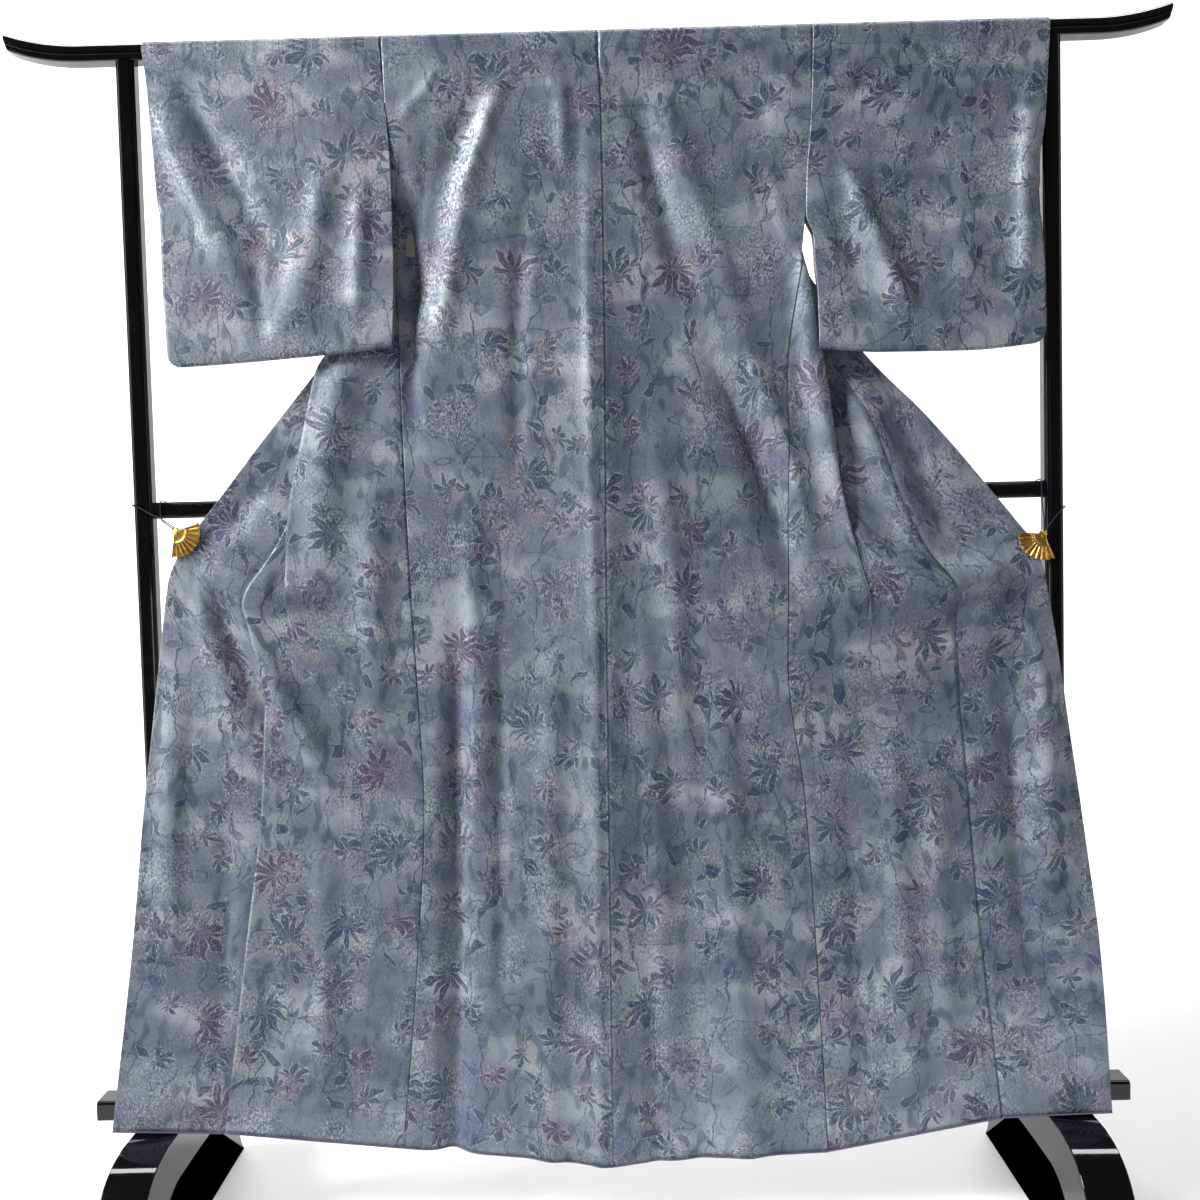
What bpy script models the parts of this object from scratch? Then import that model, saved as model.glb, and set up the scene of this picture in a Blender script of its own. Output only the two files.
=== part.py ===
"""A silk kimono spread over a lacquered kimono stand, its fronts drawn out to the posts by two fan clips.

Metres, +Z up, +Y away from the back panels. The origin is on the floor under the middle of the stand.
Cloth guides are given beside the kimono: x' runs outward from its middle, drop runs down from the rail's top.
"""
import math

import bmesh
import bpy
import numpy as np
from mathutils import Vector

GAP = 0.0003                # between pieces that touch

# ------------------------------------------------------------------ stand
RAIL_TOP = 1.760
RAIL_HALF_LENGTH = 0.842
RAIL_HEIGHT = 0.027
RAIL_RADIUS = 0.015         # of the round top, and half of the rail's depth
RAIL_STEP = 0.0012          # the bead line along each side
RAIL_END_REACH = 0.110      # each end sweeps up over this length
RAIL_END_RISE = 0.018
RAIL_END_CUT = 0.26         # slope of the end cut, its top reaches out furthest

POST_X = 0.6675             # middle of a post
POST_WIDTH = 0.027
POST_DEPTH = 0.028
CORNER_STEP = 0.0012        # moulded corner of the posts: a step on each side of a round
CORNER_ROUND = 0.005

CROSSBAR_DROP = 0.663
CROSSBAR_SIZE = 0.024

BASE_HALF_LENGTH = 0.770
BASE_TOP = 0.205
BASE_HEIGHT = 0.0305
BASE_DEPTH = 0.043

FOOT_WIDTH = 0.066
FOOT_TOP = BASE_TOP - BASE_HEIGHT - GAP
FOOT_EDGE = 0.003
# one half of a foot's side view, from the middle of its top round to the middle of its arch
FOOT_PROFILE = (            # (y, height)
    (0.000, FOOT_TOP), (0.095, FOOT_TOP), (0.122, 0.169), (0.145, 0.160), (0.166, 0.145), (0.182, 0.125),
    (0.192, 0.100), (0.197, 0.070), (0.201, 0.040), (0.208, 0.018), (0.220, 0.000),
    (0.140, 0.000), (0.132, 0.022), (0.123, 0.050), (0.117, 0.070), (0.105, 0.088), (0.088, 0.100),
    (0.062, 0.107), (0.000, 0.108),
)

# ------------------------------------------------------------------ cloth
KIMONO_X = 0.012            # the kimono hangs a little to the right of the stand's middle
CLOTH = 0.0015              # a silk shell with its lining
COLLAR_CLOTH = 0.002        # the collar is doubled
SEAM = 0.0007               # between the middle lines of two sewn edges
WRAP_RADIUS = RAIL_RADIUS + 0.0015
WRAP_CENTRE = 0.0152        # drop of the rail's round axis
WRAP_ANGLES = (67.5, 45.0, 22.5, 0.0, -22.5, -45.0, -67.5)
NECK_WRAPS = 6              # of them that the cloth beside the neck reaches past the rail's top
FOLD_RADIUS = 0.002         # half the distance between two layers at a pleat
PLEAT_START = 0.007         # a leg shorter than this only turns up, before the pleat doubles back

NECK_HALF = 0.0875
HANG_ROWS = (WRAP_CENTRE, 0.026, 0.04, 0.08, 0.13, 0.18, 0.23, 0.28, 0.315, 0.335, 0.38, 0.43, 0.48, 0.53, 0.58,
             0.63, 0.68, 0.73, 0.78, 0.82, 0.86, 0.96, 1.12, 1.28, 1.46, 1.64)
ARMPIT = 0.335              # below it the side seams are sewn
LIP_START = 0.28            # from here down to the armpit a front's free edge turns toward the back panel
LIP = ((-0.0005, 0.0010), (-0.0012, 0.0025), (-0.0030, 0.0050))
ARMPIT_ROW = HANG_ROWS.index(ARMPIT)
PLEAT_END = 0.82            # drop where the front pleats run out, level with the clips
HEM_ROW = 1.64
FOLDS_FROM = (0.02, 0.09)   # rows over which the folds begin below the rail
BACK_EVEN_ROW = 0.13        # from here down the back's columns are evenly spaced
FRONT_WIDTH = 0.25          # of a front panel, from the side seam to the overlap's seam
ROW_FACES = (4, 1, 1, 2, 1, 1, 3)   # across a front: leg, crest (2), leg, valley (2), leg
NECK_FACES = 3              # faces across the back between its middle and the neck's end
OKUMI_FACES = 4
OKUMI_START = 0.23
COLLAR_ACROSS = (0.0, 0.09, 0.18, 0.27, 0.36, 0.68, 1.0)
COLLAR_START = 35.0         # degrees past the rail's top, over the neck edge of the backs
COLLAR_BEHIND = 0.0040
COLLAR_LIFT = (0.0022, 0.0012)      # over the backs at the middle, and added toward the neck's corner
COLLAR_CORNER_LEAN = 0.015          # how far its lower edge leans in at the neck's corner
COLLAR_NECK_SHARES = (0.0, 0.35, 0.70, 0.90, 1.0)


def smooth(knots, values, at):
    """A curve through the knots without overshoot, level beyond its ends."""
    at = np.clip(at, knots[0], knots[-1])
    step = np.diff(knots)
    slope = np.diff(values) / step
    same = slope[1:] * slope[:-1] > 0
    total = np.where(same, slope[1:] + slope[:-1], 1.0)
    tangent = np.concatenate(([slope[0]], np.where(same, 2 * slope[1:] * slope[:-1] / total, 0.0), [slope[-1]]))
    i = np.clip(np.searchsorted(knots, at) - 1, 0, len(step) - 1)
    t = (at - knots[i]) / step[i]
    start = (1 + 2 * t) * (1 - t) ** 2 * values[i] + t * (1 - t) ** 2 * step[i] * tangent[i]
    end = t * t * (3 - 2 * t) * values[i + 1] + t * t * (t - 1) * step[i] * tangent[i + 1]
    return start + end


class Guide:
    """A short table with named columns, read smoothly along its first column."""

    def __init__(self, columns, *rows):
        self.names = columns.split()
        self.rows = np.array(rows, dtype=float)

    def __call__(self, column, at):
        return smooth(self.rows[:, 0], self.rows[:, self.names.index(column)], at)


CENTRE = Guide("row x y", (0.0, 0.005, -0.0165), (0.10, 0.0045, -0.0185), (0.25, 0.004, -0.021),
               (0.82, -0.004, -0.030), (1.655, -0.014, -0.036))
SIDE = {
    "right": Guide("row x y", (0.0, 0.312, -0.0165), (0.10, 0.309, -0.0185), (0.20, 0.305, -0.0205),
                   (0.335, 0.289, -0.0235), (0.51, 0.264, -0.027), (0.73, 0.263, -0.030),
                   (0.93, 0.258, -0.031), (1.12, 0.279, -0.032), (1.35, 0.292, -0.034), (1.64, 0.303, -0.042)),
    "left": Guide("row x y", (0.0, 0.307, -0.0165), (0.10, 0.304, -0.0185), (0.25, 0.300, -0.0215),
                  (0.335, 0.2965, -0.0235), (0.425, 0.291, -0.0255), (0.525, 0.290, -0.0275),
                  (0.73, 0.286, -0.030), (0.93, 0.279, -0.031), (1.11, 0.274, -0.032), (1.34, 0.289, -0.034),
                  (1.64, 0.318, -0.042)),
}
HEM_DROP = {"centre": 1.655, "right": 1.640, "left": 1.622}
# depth of the free edge of a front, from behind the rail to the armpit
ARMHOLE = Guide("row y", (0.0, 0.0165), (0.10, 0.0165), (0.15, 0.013), (0.20, 0.006), (0.23, 0.0),
                (0.26, -0.008), (0.30, -0.016), (0.335, -0.0225))
CREST = {
    "right": Guide("row x", (0.335, 0.292), (0.38, 0.299), (0.43, 0.304), (0.47, 0.308), (0.512, 0.313),
                   (0.575, 0.321), (0.647, 0.329), (0.73, 0.340), (0.82, 0.360)),
    "left": Guide("row x", (0.335, 0.300), (0.40, 0.345), (0.482, 0.414), (0.521, 0.430), (0.62, 0.455),
                  (0.724, 0.474), (0.82, 0.475)),
}
CREST_SHARE = {"right": 0.40, "left": 0.764}    # where the crest's columns lie below the pleat
CREST_DEPTH = Guide("row y", (0.335, -0.0203), (0.40, -0.0200), (0.47, -0.0215), (0.52, -0.0245),
                    (0.60, -0.0265), (0.70, -0.0270), (0.82, -0.0282))
VALLEY_DEPTH = Guide("row y", (WRAP_CENTRE, 0.0165), (0.026, 0.0185), (0.04, 0.0186), (0.10, 0.0188),
                     (0.20, 0.0175), (0.28, 0.014), (0.335, 0.010), (0.40, 0.003), (0.48, -0.006),
                     (0.56, -0.0155), (0.62, -0.0195),
                     (0.68, -0.0208), (0.76, -0.0232), (0.82, -0.0242))
# a front panel's inner edge: the collar down to the overlap's point, then the overlap's seam
INNER = {
    "right": Guide("row x drop", (0.0, 0.085, 0.0), (0.10, 0.145, 0.093), (0.20, 0.208, 0.190),
                   (0.23, 0.2215, 0.226), (0.30, 0.255, 0.300), (0.40, 0.302, 0.400), (0.48, 0.338, 0.480),
                   (0.574, 0.385, 0.574), (0.694, 0.429, 0.694), (0.747, 0.455, 0.747), (0.82, 0.500, 0.820),
                   (0.88, 0.503, 0.876), (1.00, 0.510, 0.989), (1.30, 0.528, 1.271), (1.64, 0.558, 1.590)),
    "left": Guide("row x drop", (0.0, 0.085, 0.0), (0.10, 0.151, 0.098), (0.20, 0.216, 0.195),
                  (0.23, 0.233, 0.226), (0.30, 0.268, 0.300), (0.40, 0.315, 0.400), (0.50, 0.362, 0.500),
                  (0.60, 0.410, 0.600), (0.727, 0.480, 0.727), (0.82, 0.532, 0.820), (0.86, 0.522, 0.857),
                  (0.95, 0.506, 0.942), (1.10, 0.512, 1.083), (1.35, 0.543, 1.318), (1.64, 0.580, 1.590)),
}
# depth of the inner edge, of the overlap's upper part and of the collar, by drop
INNER_DEPTH = Guide("drop y", (0.0, 0.0165), (0.0147, 0.0165), (0.024, 0.0213), (0.06, 0.0222),
                    (0.20, 0.0225), (0.28, 0.0190), (0.335, 0.0140), (0.40, 0.0070), (0.48, -0.0010),
                    (0.56, -0.0125), (0.62, -0.0175),
                    (0.68, -0.0185), (0.76, -0.0210), (0.82, -0.0265), (1.00, -0.0300), (1.30, -0.0380),
                    (1.59, -0.0500))
# the front's outer edge: the collar's seam down to the clip, then the free edge down to the hem
OUTER = {
    "right": Guide("row x drop", (0.0, 0.085, 0.0), (0.10, 0.146, 0.093), (0.20, 0.209, 0.189),
                   (0.23, 0.229, 0.222), (0.30, 0.270, 0.292), (0.40, 0.327, 0.385), (0.50, 0.386, 0.474),
                   (0.60, 0.466, 0.561), (0.70, 0.543, 0.654), (0.78, 0.597, 0.722), (0.82, 0.622, 0.757),
                   (0.86, 0.636, 0.801), (0.95, 0.650, 0.890), (1.07, 0.664, 1.008), (1.20, 0.680, 1.135),
                   (1.40, 0.700, 1.338), (1.64, 0.709, 1.575)),
    "left": Guide("row x drop", (0.0, 0.085, 0.0), (0.10, 0.152, 0.098), (0.20, 0.218, 0.194),
                  (0.23, 0.240, 0.223), (0.30, 0.284, 0.291), (0.40, 0.352, 0.387), (0.50, 0.420, 0.478),
                  (0.60, 0.492, 0.570), (0.70, 0.563, 0.660), (0.78, 0.605, 0.711), (0.82, 0.622, 0.735),
                  (0.86, 0.641, 0.777), (0.95, 0.655, 0.870), (1.07, 0.672, 1.000), (1.20, 0.689, 1.135),
                  (1.40, 0.708, 1.338), (1.64, 0.737, 1.574)),
}
OUTER_DEPTH = Guide("drop y", (0.20, 0.0225), (0.28, 0.0190),
                    (0.335, 0.0140), (0.40, 0.0070), (0.48, -0.0010), (0.56, -0.0125), (0.62, -0.0175),
                    (0.68, -0.0185), (0.757, -0.0213), (0.845, -0.0235), (1.00, -0.0290), (1.20, -0.0400),
                    (1.40, -0.0580), (1.575, -0.0700))
# the collar's width, and how far it leans inward from straight down
COLLAR_LAY = Guide("row width lean", (0.0, 0.055, 26.8), (0.05, 0.055, 36.0), (0.10, 0.057, 46.0),
                   (0.16, 0.060, 54.4), (0.325, 0.0825, 54.4), (0.45, 0.100, 54.4), (0.60, 0.110, 54.4), (0.82, 0.110, 54.4))
SLEEVE = {
    "right": Guide("row inner outer", (0.0, 0.3130, 0.652), (0.06, 0.3112, 0.648), (0.145, 0.3084, 0.641),
                   (0.219, 0.3065, 0.630), (0.307, 0.3100, 0.633), (0.387, 0.3105, 0.635),
                   (0.470, 0.3100, 0.634)),
    "left": Guide("row inner outer", (0.0, 0.3080, 0.653), (0.06, 0.3070, 0.646), (0.20, 0.3045, 0.636),
                  (0.251, 0.3030, 0.632), (0.336, 0.3020, 0.629), (0.382, 0.3010, 0.627),
                  (0.470, 0.2990, 0.622)),
}
SLEEVE_BOTTOM = {"right": Guide("x drop", (0.31, 0.469), (0.40, 0.476), (0.52, 0.477), (0.64, 0.467)),
                 "left": Guide("x drop", (0.30, 0.452), (0.42, 0.462), (0.54, 0.470), (0.63, 0.474))}
SLEEVE_FRONT = Guide("row y", (0.0, -0.0165), (0.04, -0.0168), (0.10, -0.0185), (0.20, -0.0240),
                     (0.30, -0.0320), (0.40, -0.0400), (0.48, -0.0450))
SLEEVE_REAR = Guide("row y", (0.0, 0.0165), (0.10, 0.0165), (0.15, 0.0120), (0.20, 0.0040), (0.25, -0.0060),
                    (0.30, -0.0160), (0.335, -0.0235), (0.40, -0.0290), (0.48, -0.0350))
SLEEVE_REAR_REACH = 0.636   # x' that the rear layer keeps to where it passes beside the post
SLEEVE_HEM = 0.470
SLEEVE_LEVEL_TO = 0.25      # rows below this one follow the bottom's curve
SLEEVE_ROWS = (WRAP_CENTRE, 0.04, 0.08, 0.12, 0.16, 0.20, 0.235, 0.25, 0.29, 0.33, 0.37, 0.41, 0.44)
WRIST_OPENING = 0.23
SLEEVE_ACROSS = (0.0, 0.11, 0.22, 0.33, 0.44, 0.55, 0.67, 0.79, 0.90)
HEM_ROUND = 0.0045          # how far in from a sewn edge the two layers of a sleeve part
SLEEVE_CORNER = 0.020

# folds that stand toward the viewer (height > 0) or sink (height < 0), on the x' of the kimono's middle,
# minus to the left; each one runs through three places
FOLD_COLUMNS = ("x0", "d0", "x1", "d1", "x2", "d2", "width", "height")
BACK_FOLDS = (
    (-0.135, 0.03, -0.190, 0.23, -0.245, 0.52, 0.021, 0.0105),
    (-0.235, 0.10, -0.270, 0.30, -0.278, 0.62, 0.014, -0.0045),
    (-0.105, 0.20, -0.120, 0.40, -0.128, 0.68, 0.013, -0.0040),
    (-0.190, 0.62, -0.200, 0.95, -0.215, 1.30, 0.016, 0.0060),
    (-0.222, 0.74, -0.239, 1.15, -0.262, 1.66, 0.014, -0.0060),
    (-0.158, 0.80, -0.162, 1.10, -0.170, 1.50, 0.012, -0.0045),
    (-0.075, 0.75, -0.092, 1.15, -0.105, 1.66, 0.022, 0.0070),
    (-0.016, 0.05, -0.020, 0.80, -0.030, 1.66, 0.009, 0.0022),
    (0.075, 0.04, 0.135, 0.22, 0.215, 0.47, 0.020, 0.0105),
    (0.185, 0.40, 0.240, 0.55, 0.295, 0.70, 0.020, 0.0070),
    (0.050, 0.07, 0.098, 0.25, 0.165, 0.47, 0.015, -0.0045),
    (0.165, 0.47, 0.235, 0.68, 0.285, 0.86, 0.017, -0.0055),
    (0.060, 0.45, 0.095, 0.80, 0.110, 1.25, 0.022, 0.0055),
    (0.150, 0.85, 0.175, 1.20, 0.190, 1.66, 0.024, 0.0060),
    (0.040, 1.00, 0.050, 1.30, 0.055, 1.66, 0.013, -0.0035),
    (0.060, 1.03, 0.140, 1.10, 0.260, 1.12, 0.010, -0.0020),
    (-0.060, 0.03, -0.050, 0.10, -0.045, 0.22, 0.012, 0.0040),
)
FRONT_FOLDS = (
    (0.286, 0.36, 0.300, 0.52, 0.350, 0.72, 0.013, 0.0050),
    (0.330, 0.66, 0.420, 0.79, 0.600, 0.77, 0.018, 0.0110),
    (0.350, 0.85, 0.440, 0.875, 0.560, 0.84, 0.014, -0.0050),
    (0.610, 0.82, 0.625, 1.00, 0.640, 1.30, 0.014, 0.0070),
    (0.575, 0.90, 0.585, 1.10, 0.600, 1.40, 0.013, -0.0040),
    (0.400, 0.95, 0.415, 1.25, 0.430, 1.60, 0.022, 0.0060),
    (0.345, 1.05, 0.352, 1.30, 0.360, 1.62, 0.016, -0.0040),
    (-0.600, 0.78, -0.510, 0.89, -0.400, 1.08, 0.017, 0.0100),
    (-0.600, 0.83, -0.547, 0.93, -0.480, 1.06, 0.013, -0.0050),
    (-0.590, 0.745, -0.520, 0.79, -0.380, 0.81, 0.018, 0.0080),
    (-0.625, 0.90, -0.640, 1.10, -0.655, 1.40, 0.014, 0.0060),
    (-0.560, 1.05, -0.570, 1.25, -0.590, 1.55, 0.014, -0.0040),
    (-0.420, 1.10, -0.430, 1.30, -0.440, 1.62, 0.020, 0.0055),
    (-0.345, 0.60, -0.350, 0.85, -0.345, 1.15, 0.020, 0.0045),
)
SLEEVE_FOLDS = (
    (-0.645, 0.04, -0.583, 0.20, -0.500, 0.39, 0.018, 0.0090),
    (-0.600, 0.06, -0.520, 0.22, -0.462, 0.33, 0.014, -0.0040),
    (-0.385, 0.16, -0.405, 0.28, -0.440, 0.44, 0.018, 0.0080),
    (-0.340, 0.20, -0.345, 0.32, -0.350, 0.43, 0.013, 0.0045),
    (0.622, 0.05, 0.608, 0.22, 0.600, 0.43, 0.013, 0.0055),
    (0.350, 0.17, 0.392, 0.30, 0.445, 0.45, 0.014, 0.0080),
    (0.520, 0.03, 0.460, 0.07, 0.405, 0.12, 0.011, -0.0030),
    (0.520, 0.18, 0.525, 0.30, 0.520, 0.44, 0.024, 0.0050),
)
REAR_FOLDS = (
    (-0.560, 0.05, -0.520, 0.18, -0.470, 0.36, 0.020, -0.0060),
    (-0.400, 0.08, -0.430, 0.22, -0.450, 0.40, 0.018, -0.0050),
    (0.400, 0.06, 0.430, 0.20, 0.470, 0.40, 0.018, -0.0060),
    (0.560, 0.08, 0.550, 0.22, 0.540, 0.42, 0.020, -0.0050),
)

# ------------------------------------------------------------------ clips and cords
CLIP_RADIUS = 0.037
CLIP_SPREAD = 92.0
CLIP_PLEATS = 9
CLIP_METAL = 0.001
CLIP_PLEAT_DEPTH = 0.0009
CLIP_FRONT_Y = -0.0243
CLIP_STRAP = 0.0042         # half its width
# strip from the fan's pivot over the cloth's edge to the jaw's tip:
# distance along the fan, share of the depth between fan and jaw, width
CLIP_STRIP = ((0.000, 0.0, 1.0), (-0.0045, 0.3, 1.0), (-0.0045, 0.7, 1.0), (0.000, 1.0, 1.0), (0.022, 1.0, 1.6))
# pivot (x, drop), the fan's direction in degrees from straight down to the right, and the jaw's depth
CLIPS = {
    "right": (0.6465, 0.741, -23.0, -0.0150),
    "left": (-0.6160, 0.707, 42.0, -0.0134),
}
CORD_RADIUS = 0.0009
CORD_POINTS = 34
# each cord leaves the clip, crosses the crossbar, goes round the post and comes back: (x, y, drop)
CORDS = {
    "right": ((0.6487, -0.0197, 0.7358), (0.6489, -0.0185, 0.720), (0.6480, -0.0150, 0.700),
              (0.6475, -0.0136, 0.682), (0.6475, -0.0134, 0.668), (0.6475, -0.0110, 0.6615),
              (0.6475, 0.0, 0.6608), (0.6480, 0.0115, 0.6625), (0.6510, 0.0150, 0.667), (0.6600, 0.0157, 0.675),
              (0.6720, 0.0157, 0.687), (0.6805, 0.0150, 0.695), (0.6830, 0.0080, 0.699),
              (0.6830, -0.0070, 0.701), (0.6805, -0.0150, 0.702), (0.6740, -0.0158, 0.708), (0.6640, -0.0165, 0.719),
              (0.6560, -0.0190, 0.729), (0.6511, -0.0200, 0.7347)),
    "left": ((-0.6198, -0.0197, 0.7028), (-0.6300, -0.0190, 0.696), (-0.6375, -0.0165, 0.689),
             (-0.6400, -0.0140, 0.681), (-0.6402, -0.0134, 0.670), (-0.6402, -0.0110, 0.6615),
             (-0.6402, 0.0, 0.6608), (-0.6410, 0.0115, 0.6625), (-0.6460, 0.0148, 0.665),
             (-0.6550, 0.0157, 0.666), (-0.6720, 0.0157, 0.666), (-0.6805, 0.0150, 0.666),
             (-0.6830, 0.0080, 0.666), (-0.6830, -0.0070, 0.666), (-0.6805, -0.0150, 0.667),
             (-0.6700, -0.0158, 0.671), (-0.6560, -0.0165, 0.679), (-0.6405, -0.0182, 0.6865),
             (-0.6179, -0.0200, 0.7011)),
}

SIDES = (("left", -1.0), ("right", 1.0))


# ------------------------------------------------------------------ making
def clear_scene():
    for obj in list(bpy.data.objects):
        bpy.data.objects.remove(obj, do_unlink=True)


def finish_material(name, colour, roughness, metallic=0.0, sheen=0.0):
    material = bpy.data.materials.new(name)
    material.use_nodes = True
    shader = material.node_tree.nodes["Principled BSDF"]
    shader.inputs["Base Color"].default_value = (*colour, 1.0)
    shader.inputs["Roughness"].default_value = roughness
    shader.inputs["Metallic"].default_value = metallic
    shader.inputs["Sheen Weight"].default_value = sheen
    return material


def lacquer(name):
    return finish_material(name, (0.006, 0.006, 0.008), 0.12)


def silk(name, shade=1.0):
    return finish_material(name, (0.27 * shade, 0.31 * shade, 0.40 * shade), 0.42, sheen=0.4)


def brass(name):
    return finish_material(name, (0.75, 0.55, 0.22), 0.25, metallic=1.0)


def add_object(name, data, material):
    obj = bpy.data.objects.new(name, data)
    data.materials.append(material)
    KIMONO.objects.link(obj)
    return obj


def prism(name, outline, length, material, location=(0, 0, 0), rotation=(0, 0, 0), edge=0.0):
    """A flat outline pushed out by half its length to each side, along its own Z."""
    curve = bpy.data.curves.new(name, "CURVE")
    curve.dimensions = "2D"
    curve.fill_mode = "BOTH"
    curve.extrude = length / 2
    spline = curve.splines.new("POLY")
    spline.points.add(len(outline) - 1)
    for point, (x, y) in zip(spline.points, outline):
        point.co = (x, y, 0, 1)
    spline.use_cyclic_u = True
    obj = add_object(name, curve, material)
    obj.location = location
    obj.rotation_euler = rotation
    if edge:
        weld = obj.modifiers.new("Weld", "WELD")
        weld.merge_threshold = 0.0001
        bevel = obj.modifiers.new("Bevel", "BEVEL")
        bevel.width = edge
        bevel.segments = 1
        bevel.limit_method = "ANGLE"
        bevel.angle_limit = math.radians(60)
    return obj


def moulded_corner_outline(width, depth, step, radius):
    """A bar's section: each corner is rounded between two small steps."""
    quarter = [(width / 2, depth / 2 - radius - step), (width / 2 - step, depth / 2 - radius - step)]
    for angle in (0, 30, 60, 90):
        turn = math.radians(angle)
        quarter.append((width / 2 - step - radius * (1 - math.cos(turn)),
                        depth / 2 - step - radius * (1 - math.sin(turn))))
    quarter.append((width / 2 - step - radius, depth / 2))
    outline = []
    for mirror_x, mirror_y in ((1, 1), (-1, 1), (-1, -1), (1, -1)):
        corner = [(x * mirror_x, y * mirror_y) for x, y in quarter]
        outline += corner if mirror_x * mirror_y > 0 else corner[::-1]
    return outline


def grid(rows):
    """A sheet of faces with its points moved to the rows of places."""
    rows = np.asarray(rows, dtype=float)
    count, across = rows.shape[:2]
    bm = bmesh.new()
    bmesh.ops.create_grid(bm, x_segments=across - 1, y_segments=count - 1, size=1)
    bm.verts.ensure_lookup_table()
    for vert, place in zip(bm.verts, rows.reshape(-1, 3)):
        vert.co = Vector(place)
    return bm


def cloth_object(name, bm, material, thickness=CLOTH):
    mesh = bpy.data.meshes.new(name)
    bm.to_mesh(mesh)
    bm.free()
    mesh.shade_smooth()
    obj = add_object(name, mesh, material)
    wall = obj.modifiers.new("Wall", "SOLIDIFY")
    wall.thickness = thickness
    wall.offset = 0
    return obj


def ramp(start, end, value):
    """0 at start, 1 at end, easing at both."""
    t = np.clip((value - start) / (end - start), 0.0, 1.0)
    return t * t * (3 - 2 * t)


def relief(folds, x, drop):
    """How far the cloth stands toward the viewer at x' (signed) and drop."""
    x, drop = np.broadcast_arrays(np.asarray(x, dtype=float), np.asarray(drop, dtype=float))
    height = np.zeros(x.shape)
    for values in folds:
        fold = dict(zip(FOLD_COLUMNS, values))
        places = np.array([(fold[f"x{i}"], fold[f"d{i}"]) for i in range(3)])
        lengths = np.linalg.norm(np.diff(places, axis=0), axis=1)
        nearest = np.full(x.shape, np.inf)
        along = np.zeros(x.shape)
        for i in range(2):
            step = places[i + 1] - places[i]
            t = ((x - places[i, 0]) * step[0] + (drop - places[i, 1]) * step[1]) / lengths[i] ** 2
            t = np.clip(t, 0.0, 1.0)
            distance = np.hypot(x - places[i, 0] - t * step[0], drop - places[i, 1] - t * step[1])
            closer = distance < nearest
            nearest = np.where(closer, distance, nearest)
            along = np.where(closer, (lengths[:i].sum() + t * lengths[i]) / lengths.sum(), along)
        ends = ramp(0.0, 0.3, along) * ramp(1.0, 0.75, along)
        if fold["d2"] > HEM_ROW:
            ends = ramp(0.0, 0.3, along)
        height += fold["height"] * ends * np.exp(-(nearest / fold["width"]) ** 2)
    return height


def world(sign, x, y, drop):
    """Places on the stand for guides on one side of the kimono."""
    x, y, drop = np.broadcast_arrays(x, y, drop)
    return np.stack([KIMONO_X + sign * x, y, RAIL_TOP - drop], axis=-1)


def below_pleat(row):
    return np.clip((row - PLEAT_END) / (HEM_ROW - PLEAT_END), 0.0, None)


# ------------------------------------------------------------------ body panels
def back_row(side, sign, row, shares):
    """One row of the back panel, from the middle seam (share 0) to the side seam (share 1)."""
    middle = sign * CENTRE("x", row) + SEAM / 2
    x = middle + shares * (SIDE[side]("x", row) - SEAM / 2 - middle)
    y = CENTRE("y", row) + shares * (SIDE[side]("y", row) - CENTRE("y", row))
    hem = (1 - shares) * HEM_DROP["centre"] + shares * HEM_DROP[side]
    drop = row + (hem - HEM_ROW) * below_pleat(row)
    return world(sign, x, y - relief(BACK_FOLDS, sign * x, drop) * ramp(*FOLDS_FROM, row), drop)


def back_shares(row, neck_columns):
    """Even shares over most of the back; at the rail they meet the front's columns."""
    even = np.linspace(0, 1, NECK_FACES + len(neck_columns))
    top = np.concatenate([np.linspace(0, neck_columns[0], NECK_FACES + 1)[:-1], neck_columns])
    blend = ramp(WRAP_CENTRE, BACK_EVEN_ROW, row)
    return even * blend + top * (1 - blend)


def front_corners(side, row):
    """The plan of one front row: side seam, pleat crest, pleat valley, inner edge, as (x', y) corners."""
    inner = np.array([INNER[side]("x", row), INNER_DEPTH("y", INNER[side]("drop", row))])
    if row < ARMPIT:
        outer = np.array([SIDE[side]("x", row), ARMHOLE("y", row)])
        crest_x = outer[0]
        neck_width = SIDE[side]("x", WRAP_CENTRE) - INNER[side]("x", WRAP_CENTRE)
        share = min((row - WRAP_CENTRE) / (OKUMI_START - WRAP_CENTRE), 1.0)
        width = neck_width + (FRONT_WIDTH - neck_width) * share
    else:
        outer = np.array([SIDE[side]("x", row) + SEAM, SIDE[side]("y", row)])
        crest_x = CREST[side]("x", row)
        width = FRONT_WIDTH
    if row > PLEAT_END:
        flat = outer + CREST_SHARE[side] * (inner - outer)
        return [outer] + [flat] * 6 + [inner]
    valley_x = min((2 * crest_x - outer[0] + inner[0] - width) / 2, inner[0])
    depth = crest_x - valley_x
    turn = FOLD_RADIUS * np.clip(depth / (2 * FOLD_RADIUS), 0.0, 1.0)
    if inner[0] - valley_x < FOLD_RADIUS:
        valley = [inner] * 3
    else:
        valley_y = VALLEY_DEPTH("y", row)
        back = FOLD_RADIUS
        if inner[0] - valley_x < PLEAT_START:
            valley_x = inner[0] + 0.0008
            back = -0.0005
        valley = [np.array([valley_x + turn, valley_y - FOLD_RADIUS]), np.array([valley_x, valley_y]),
                  np.array([valley_x + back, valley_y + FOLD_RADIUS])]
    if row < ARMPIT:
        lip = np.clip((row - LIP_START) / (HANG_ROWS[ARMPIT_ROW - 1] - LIP_START), 0.0, 1.0)
        crest = [outer + lip * np.array(step) for step in LIP]
    else:
        crest_y = CREST_DEPTH("y", row)
        radius = FOLD_RADIUS * np.clip((crest_x - outer[0]) / 0.003, 0.0, 1.0)
        crest = [np.array([crest_x - radius, crest_y - radius]), np.array([crest_x, crest_y]),
                 np.array([crest_x - min(turn, radius), crest_y + radius])]
    return [outer, *crest, *valley, inner]


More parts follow.
